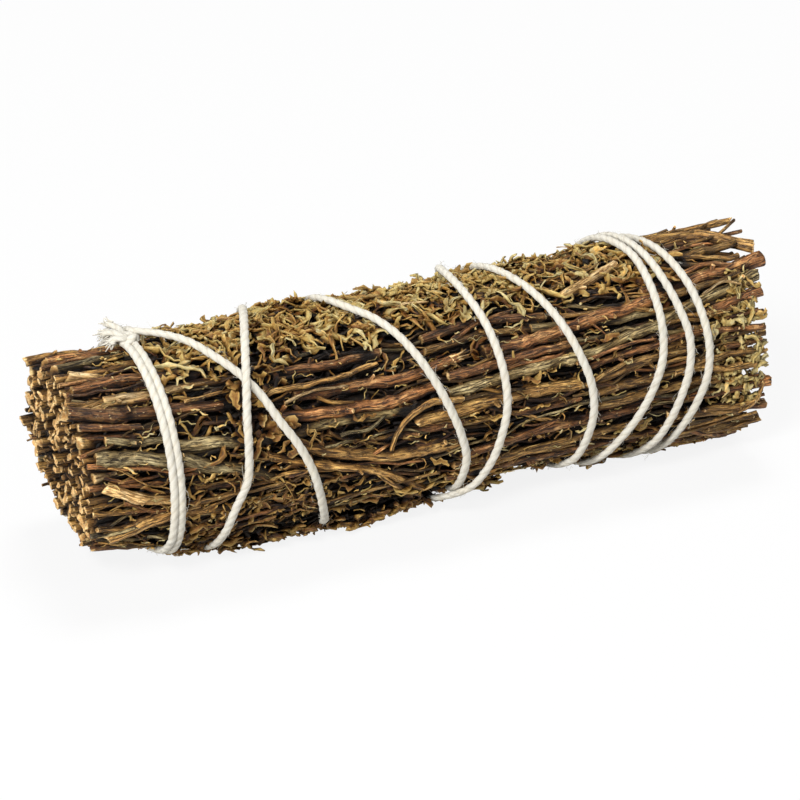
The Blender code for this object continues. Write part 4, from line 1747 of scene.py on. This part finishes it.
@dataclass
class Studio:
    """The white ground, the soft lamps and the camera.

    Attributes:
        azimuth: The camera's side, in degrees.
        elevation: How far it looks down.
        distance: How far it stands from what it looks at, in metres.
        lens: Its focal length.
        shift: How far its picture is moved, as shares of the width.
        target: The height of the point that it looks at, in metres.
        aim: The height that the lamps face, in metres.
        room: The strength of the room's own light.
    """

    azimuth: float = -24.0
    elevation: float = 27.8
    distance: float = 0.75
    lens: float = 204.75
    shift: tuple[float, float] = (0.0025, -0.01)
    target: float = 0.0178
    aim: float = 0.017
    room: float = 0.1

    def build(self) -> None:
        """Sets the ground, lamps, world and camera."""
        bpy.ops.object.select_all(action="DESELECT")
        bpy.ops.mesh.primitive_plane_add(size=6.0)
        ground = bpy.context.object
        ground.name = "white_ground"
        ground.data.materials.append(PaperFinish().make())
        self.add_lamp("key_lamp", (-0.48, -0.50, 0.69), 0.22, 8.8)
        self.add_lamp("top_lamp", (0.15, 0.25, 0.9), 0.3, 6.9)
        self.add_lamp("side_lamp", (0.8, -0.45, 0.4), 0.3, 2.6)
        self.add_lamp("low_lamp", (-0.92, -0.38, 0.32), 0.28, 7.1)
        world = bpy.data.worlds.new("soft_room")
        world.use_nodes = True
        shader = world.node_tree.nodes["Background"]
        shader.inputs["Color"].default_value = (1.0, 1.0, 1.0, 1.0)
        seen = world.node_tree.nodes.new("ShaderNodeLightPath")
        level = world.node_tree.nodes.new("ShaderNodeMapRange")
        level.inputs[3].default_value = self.room
        level.inputs[4].default_value = 1.0
        world.node_tree.links.new(seen.outputs["Is Camera Ray"], level.inputs[0])
        world.node_tree.links.new(level.outputs[0], shader.inputs["Strength"])
        bpy.context.scene.world = world
        bpy.context.scene.view_settings.view_transform = "Standard"
        self.add_camera()

    def add_lamp(self, name: str, spot: tuple[float, float, float], size: float, power: float) -> None:
        """Adds a soft square lamp that faces the bundle.

        Args:
            name: Its name.
            spot: Its place, in metres.
            size: Its width.
            power: Its power in watts.
        """
        data = bpy.data.lights.new(name, "AREA")
        data.size = size
        data.energy = power
        lamp = bpy.data.objects.new(name, data)
        lamp.location = spot
        aim = Vector((0.0, 0.0, self.aim)) - Vector(spot)
        lamp.rotation_euler = aim.to_track_quat("-Z", "Y").to_euler()
        bpy.context.collection.objects.link(lamp)

    def add_camera(self) -> None:
        """Adds the camera, looking at the bundle's middle."""
        a, e = math.radians(self.azimuth), math.radians(self.elevation)
        way = Vector((math.sin(a) * math.cos(e), -math.cos(a) * math.cos(e), math.sin(e)))
        target = Vector((0.0, 0.0, self.target))
        data = bpy.data.cameras.new("camera")
        data.lens = self.lens
        data.sensor_width = 36.0
        data.shift_x, data.shift_y = self.shift
        camera = bpy.data.objects.new("camera", data)
        camera.location = target + way * self.distance
        camera.rotation_euler = (-way).to_track_quat("-Z", "Y").to_euler()
        bpy.context.collection.objects.link(camera)
        bpy.context.scene.camera = camera


# The first stem's seed; each next one's is 1 more.
STEM_SEED = 100
TORN_ENDS = {"torn_red_stem", "split_red_stem", "splintered_stem", "rough_brown_stem", "pale_splinter"}
KNOB_ENDS = {"knobbed_red_stem", "knobbed_tip_stem", "long_red_stem", "tip_red_stem", "arched_stem"}

# How far stems are lifted at each x, and where two start.
STEM_LIFTS = {
    "grey_middle_stem": ((-30.0, 0.0), (-20.0, 0.7), (-10.0, 1.5), (-1.0, 1.6)),
    "pale_grey_stick": ((26.0, 0.7), (38.0, 0.9)),
    "bent_tan_twig": ((-30.0, 0.6), (-22.0, 0.3), (-2.0, 0.4)),
    "knotty_tan_stem": ((-57.0, 0.5), (-38.0, 0.3)),
}
STEM_STARTS = {"straight_tan_twig": -61.4, "grey_middle_stem": -45.6}
# How light a stem's bark is, from 0 to 1, and the ones that differ from it. The lower stems' darker tones
# are partly painted shade.
STEM_TONE = 0.4
STEM_TONES = {
    "straight_tan_twig": 0.7,
    "brown_top_stem": 0.85,
    "grey_top_stem": 0.3,
    "peeled_orange_stem": 0.75,
    "dark_red_stem": 0.5,
    "thick_red_stem": 0.15,
    "small_red_stem": 0.3,
    "short_cut_stem": 0.25,
    "half_peeled_stem": 1.0,
    "knotty_tan_stem": 0.95,
    "split_red_stem": 0.6,
    "bent_red_stem": 0.9,
    "grey_middle_stem": 0.75,
    "rough_brown_stem": 0.65,
    "bent_tan_twig": 0.95,
    "upper_red_stem": 0.2,
    "long_red_stem": 0.7,
    "torn_red_stem": 0.5,
    "long_grey_stem": 0.85,
    "yellow_brown_stem": 0.8,
    "pale_grey_stick": 0.7,
    "pale_brown_stem": 0.25,
    "splintered_stem": 0.35,
    "low_red_stem": 0.3,
    "lower_red_stem": 0.3,
    "lower_tip_stem": 0.3,
    "forked_tip_stem": 0.35,
    "tip_red_stem": 0.6,
    "arched_stem": 0.75,
    "tip_twig": 0.75,
    "knobbed_tip_stem": 0.8,
    "bottom_tip_stem": 0.5,
}

TAN_TWIGS = (
    (1.2, ((4, 69, 0.2), (0, 67.5, 1.1), (-3, 68, 1.5), (-6, 72, 1.5), (-8, 79, 1.2), (-9, 89, 0.6))),
    (1.1, ((-34, 49, 0.1), (-27, 45, 0.6), (-18, 45, 1.0), (-9, 41, 0.6))),
    (0.8, ((39, 74, 0.1), (44, 72, 0.2), (48, 76, 0.0))),
    (0.9, ((26, 76, 0.1), (31, 70, 0.4), (35, 67, 0.1))),
    (0.8, ((22, 111, 0.0), (27, 110, 0.1), (34, 116, 0.2), (41, 122, 0.2))),
    (0.8, ((46, 120, 0.2), (52, 116, 0.3), (57, 109, 0.4), (58.5, 95, 0.5))),
    (0.8, ((34, 4, 0.2), (28, 8, 0.4), (22, 11, 0.0))),
    (0.9, ((28, -12, 0.2), (32, -20, 0.5), (36, -29, 0.3))),
    (0.7, ((24, 17, 0.1), (31, 11, 0.5), (36, 3, 0.2))),
    (0.9, ((6, 118, -0.1), (15, 113, 0.1), (25, 114, 0.0))),
    (0.8, ((-19, 118, 0.0), (-7, 113, 0.3), (0, 112, 0.3))),
    (0.6, ((-42, 40, 0.0), (-34, 39, 0.2))),
    (1.0, ((-50, 103, -0.2), (-42, 99, 0.1))),
    (0.7, ((-44, 96, -0.1), (-35, 96, 0.2), (-25, 96, -0.1))),
    (0.9, ((-30, 135, 0.0), (-28, 149, 0.5), (-27.4, 156, 0.7))),
    (0.8, ((3, 118, -0.2), (7.4, 125.6, 0.4), (9.1, 132.4, 0.8), (11.9, 148.5, 1.0))),
    (0.9, ((-13, 96, -0.3), (-10.9, 103.5, 0.3), (-6.7, 117.1, 0.7), (-1.1, 136.9, 1.0))),
    (0.5, ((42, 22, 0.0), (45, 15, 0.8), (46.5, 9, 0.4), (45, 4, 0.0))),
    (0.7, ((49, -8, 0.0), (55.2, -12.1, 0.3), (60, -20.5, 0.4), (62.8, -28, 0.4))),
    (0.7, ((52, 2, -0.2), (58.1, -0.4, 0.1), (61, -5, 0.5), (63.2, -9, 0.9))),
    (1.1, ((-60.4, 25.5, -0.6), (-57, 28.0, -0.7), (-53, 30.0, -0.7))),
    (0.9, ((-60.3, 33, -0.9), (-56, 35, -0.9), (-50, 37, -0.8))),
    (1.0, ((-60.4, 60, -0.7), (-55, 63, -0.6), (-49, 66, -0.5))),
    (0.9, ((-59.8, 92, -0.6), (-54, 95, -0.5), (-47, 98, -0.6))),
    (0.9, ((-59.0, 104, -0.6), (-53, 107, -0.5), (-46, 110, -0.6))),
    (0.8, ((55, 32, -0.4), (61.3, 32, -0.2))),
    (0.9, ((52, 66, -0.4), (59.6, 64, -0.1))),
    (0.9, ((50, 118, -0.2), (58.5, 124, 0.0))),
    (1.0, ((50, 132, 0.1), (55, 130, 0.4), (60, 126, 0.4))),
)
RED_TWIGS = (
    (1.0, ((13, 84, -0.2), (19, 84, 0.2), (25, 83, 0.0))),
    (0.7, ((25, 63, 0.2), (31, 60, 0.4), (36, 58, 0.3), (40, 59, 0.0))),
    (1.1, ((40, 30, 0.0), (47, 26, 0.2), (53, 21, 0.1), (58, 26, 0.0))),
    (0.9, ((11, 98, -0.2), (21, 98, 0.1), (29, 96, 0.0))),
    (0.8, ((6, 102, -0.1), (14, 98, 0.2), (21, 93, 0.0))),
    (0.8, ((-43, 44, -0.1), (-36, 46, 0.1))),
    (0.8, ((-43, 118, 0.0), (-34, 115, 0.3), (-24, 112, 0.0))),
    (1.2, ((-58.5, 27.6, -0.9), (-53.8, 31.5, -0.6), (-48, 34, -0.6))),
    (0.9, ((-60.8, -12, -0.4), (-55, -14, -0.3), (-49, -15, -0.4))),
    (0.8, ((-60.0, 11, -0.5), (-55, 13, -0.4), (-48, 16, -0.5))),
    (0.9, ((-60.2, 48, -0.6), (-54, 51, -0.5), (-48, 54, -0.6))),
    (1.0, ((-60.2, 76, -0.7), (-54, 79, -0.7), (-48, 82, -0.8))),
    (0.9, ((48, 59, 0.0), (54, 62, 0.2), (59.5, 64, 0.1))),
    (0.9, ((52, 71, -0.2), (58.5, 71, 0.0))),
    (0.9, ((55, -3, -0.5), (63.5, -3, -0.4))),
    (0.8, ((53, 55, -0.3), (59.8, 55, 0.0))),
    (1.1, ((45, 121, 0.1), (50, 132, 0.4), (54, 141, 0.5), (58, 148, 0.3))),
    (0.9, ((5, 36, 0.0), (11, 28.5, 0.2), (18, 25, 0.1))),
)
PALE_TWIGS = (
    (1.2, ((-60.9, 30.5, -1.0), (-57, 32, -0.6), (-52.1, 32.5, -0.2), (-47.8, 33.6, 0.1))),
    (0.5, ((-26, 52, 0.3), (-21, 49, 0.7), (-15, 50, 0.5))),
    (0.5, ((50, 40, 0.2), (54, 36, 0.8), (57, 39, 0.6))),
    (0.5, ((-3, 12, 0.5), (0, 8, 0.9), (4, 9, 0.6))),
)

CURLS_TOP = (
    LeafPatch(40, (-21, -13), (-54, -25), (0.6, 1.6), (0.2, 0.8), (3.0, 6.5), (0.9, 1.8), 0.6, 1.5),
    LeafPatch(860, (-44, 46), (-85, 26), (-1.0, 0.25), (0.2, 0.85), (4.0, 10.0), (0.7, 1.7), 0.6, 2.0, 0.5),
    LeafPatch(140, (-44, 46), (26, 60), (-2.6, -1.1), (0.05, 0.7), (3.0, 8.0), (0.6, 1.3), 0.8),
    LeafPatch(360, (-40, 30), (-70, 18), (-0.5, 0.4), (0.4, 0.88), (3.0, 8.0), (0.7, 1.5), 0.5, 2.6, 0.45),
)
CURLS_FRONT = (
    LeafPatch(210, (-44, -20), (50, 140), (-2.6, -0.9), (0.0, 0.6), (4.0, 10.0), (0.5, 1.3), 0.85, 1.0),
    LeafPatch(50, (-44, -22), (72, 150), (-0.9, 0.1), (0.05, 0.5), (2.5, 6.0), (0.8, 1.8), 0.6),
    LeafPatch(170, (-20, 46), (60, 110), (-2.8, -1.2), (0.0, 0.6), (3.0, 8.0), (0.5, 1.2), 0.88),
    LeafPatch(150, (-44, -2), (110, 178), (-1.6, -0.2), (0.05, 0.6), (3.0, 9.0), (0.7, 1.6), 0.8, 1.4),
    LeafPatch(150, (-35, -3), (138, 170), (0.0, 1.4), (0.05, 0.6), (3.0, 7.0), (0.8, 1.8), 0.7),
    LeafPatch(60, (-44, -32), (138, 170), (-0.4, 0.7), (0.05, 0.6), (3.0, 7.0), (0.8, 1.8), 0.7),
    LeafPatch(60, (-4, 12), (138, 170), (-0.2, 0.9), (0.05, 0.6), (3.0, 7.0), (0.8, 1.8), 0.7),
    LeafPatch(60, (-15, -5), (143, 168), (0.8, 2.0), (0.05, 0.5), (3.0, 7.0), (0.8, 1.8), 0.7),
    LeafPatch(150, (-2, 46), (110, 178), (-2.0, 0.0), (0.05, 0.65), (3.0, 8.0), (0.7, 1.5), 0.8, 1.4),
    LeafPatch(60, (24, 54), (145, 172), (-0.7, 0.3), (0.05, 0.6), (3.0, 7.0), (0.7, 1.4), 0.9, 0.8, 0.3),
    LeafPatch(130, (-56, -45), (0, 180), (-2.4, -0.8), (0.1, 0.8), (2.5, 6.0), (0.4, 1.0), 0.9, 0.8),
    LeafPatch(130, (49, 58.5), (50, 114), (-1.6, 0.15), (0.62, 0.86), (2.0, 5.0), (0.8, 1.9), 0.45, 2.2),
    LeafPatch(40, (55, 59.5), (28, 60), (-1.8, 0.0), (0.5, 0.82), (2.0, 4.5), (0.7, 1.6), 0.4, 2.2),
    LeafPatch(34, (-5, 1), (137, 152), (0.7, 1.7), (0.05, 0.5), (3.0, 5.0), (0.9, 1.8), 0.75),
    LeafPatch(60, (46, 58), (-90, 50), (-2.8, -1.0), (0.3, 0.9), (2.5, 6.0), (0.6, 1.3), 0.8),
)
CURLS_BACK = (
    LeafPatch(350, (-45, 57), (180, 276), (-1.6, 0.1), (0.1, 0.85), (4.0, 10.0), (1.0, 2.2), 0.6),
    LeafPatch(60, (-55, -45), (180, 360), (-2.0, -0.5), (0.1, 0.9), (3.0, 7.0), (0.7, 1.5), 0.85),
    LeafPatch(210, (51, 58), (0, 360), (-16.0, -1.0), (0.3, 0.9), (3.0, 6.0), (0.8, 1.9), 0.3, 2.2),
)
FLAKES = (
    LeafPatch(560, (-57, 57), (0, 165), (-1.2, 0.0), (0.6, 1.0), (1.2, 4.0), (0.2, 0.5), 0.97, 0.5, 0.2),
    LeafPatch(220, (-57, 57), (180, 360), (-1.3, 0.0), (0.8, 1.0), (1.2, 4.0), (0.2, 0.5), 0.95, 0.7, 0.3),
    LeafPatch(360, (-42, 44), (-70, 25), (-0.5, 0.4), (0.1, 0.95), (2.0, 5.5), (0.9, 2.2), 0.5, 1.5, 0.6),
    LeafPatch(30, (-35, -25), (28, 78), (-0.4, 0.5), (0.1, 0.5), (2.5, 6.0), (1.4, 3.0), 0.5, 1.5, 0.7),
    LeafPatch(230, (-44, 57), (50, 178), (-1.4, 0.0), (0.05, 0.6), (2.0, 5.0), (0.7, 1.8), 0.7, 1.5, 0.6),
)
CRUMBS = (
    LeafPatch(500, (-52, 58), (-60, 160), (-0.7, 0.15), (0.85, 1.0), (0.4, 1.1), (0.3, 0.75), 0.3),
)


def outer_stems() -> list[OuterStem]:
    """Finds the frame's stout stems.

    Returns:
        The stems, in the record's order.
    """
    stems = []
    for number, part in enumerate(frame["record"]["subparts"]):
        node, slot = part["node"], Slot(part["material_slot"])
        if slot in (Slot.COTTON, Slot.LEAF):
            continue
        torn = End.TORN if node in TORN_ENDS else End.CUT
        end = End.KNOB if node in KNOB_ENDS else torn
        stems.append(OuterStem(f"{node}_bark", STEM_SEED + number, 1, slot, (node,), end=end))
    return stems


def main() -> None:
    """Builds every sub-assembly in order."""
    logging.basicConfig(level=logging.INFO, format="%(message)s")
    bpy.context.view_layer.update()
    looks = {key: finish.make() for key, finish in FINISHES.items()}
    Heart().build()
    filling = (
        *outer_stems(),
        ThinTwigs("thin_red_twigs", 21, 150, Slot.RED),
        ThinTwigs("thin_grey_twigs", 22, 90, Slot.GREY),
        ThinTwigs("thin_tan_twigs", 23, 150),
        FineTwigs("fine_red_twigs", 24, 200, Slot.RED),
        FineTwigs("fine_grey_twigs", 25, 140, Slot.GREY),
        FineTwigs("fine_tan_twigs", 26, 300),
        LooseTwigs("loose_tan_twigs", 27, twigs=TAN_TWIGS),
        LooseTwigs("loose_red_twigs", 28, slot=Slot.RED, twigs=RED_TWIGS),
        LooseTwigs("loose_pale_twigs", 29, slot=Slot.PEELED, twigs=PALE_TWIGS),
        CutEnds("cut_butt_ends", 31, 12000),
        TipTwigs("tip_twigs", 41, 430),
        CurlMass("top_leaves", 51, patches=CURLS_TOP),
        CurlMass("front_leaves", 52, patches=CURLS_FRONT),
        CurlMass("back_leaves", 53, patches=CURLS_BACK),
        LeafMass("leaf_flakes", 54, patches=FLAKES),
        CurlMass("pale_crumbs", 55, patches=CRUMBS, rings=4, sides=4),
        Stalks("fine_stalks", 61, 300),
    )
    twine = (
        Twine("twisted_twine", replaced=("binding_twine",)),
        Knot("twine_knot", 73),
        Fuzz("loose_fibres", 71, 2000),
    )
    for mass in filling:
        mass.build(looks.get(mass.name, looks[mass.slot]))
    Shade().apply([p for p in bpy.data.objects if p.type == "MESH" and "open" in p.data.attributes])
    for mass in twine:
        mass.build(looks[mass.slot])
    Studio().build()


if __name__ == "__main__":
    main()
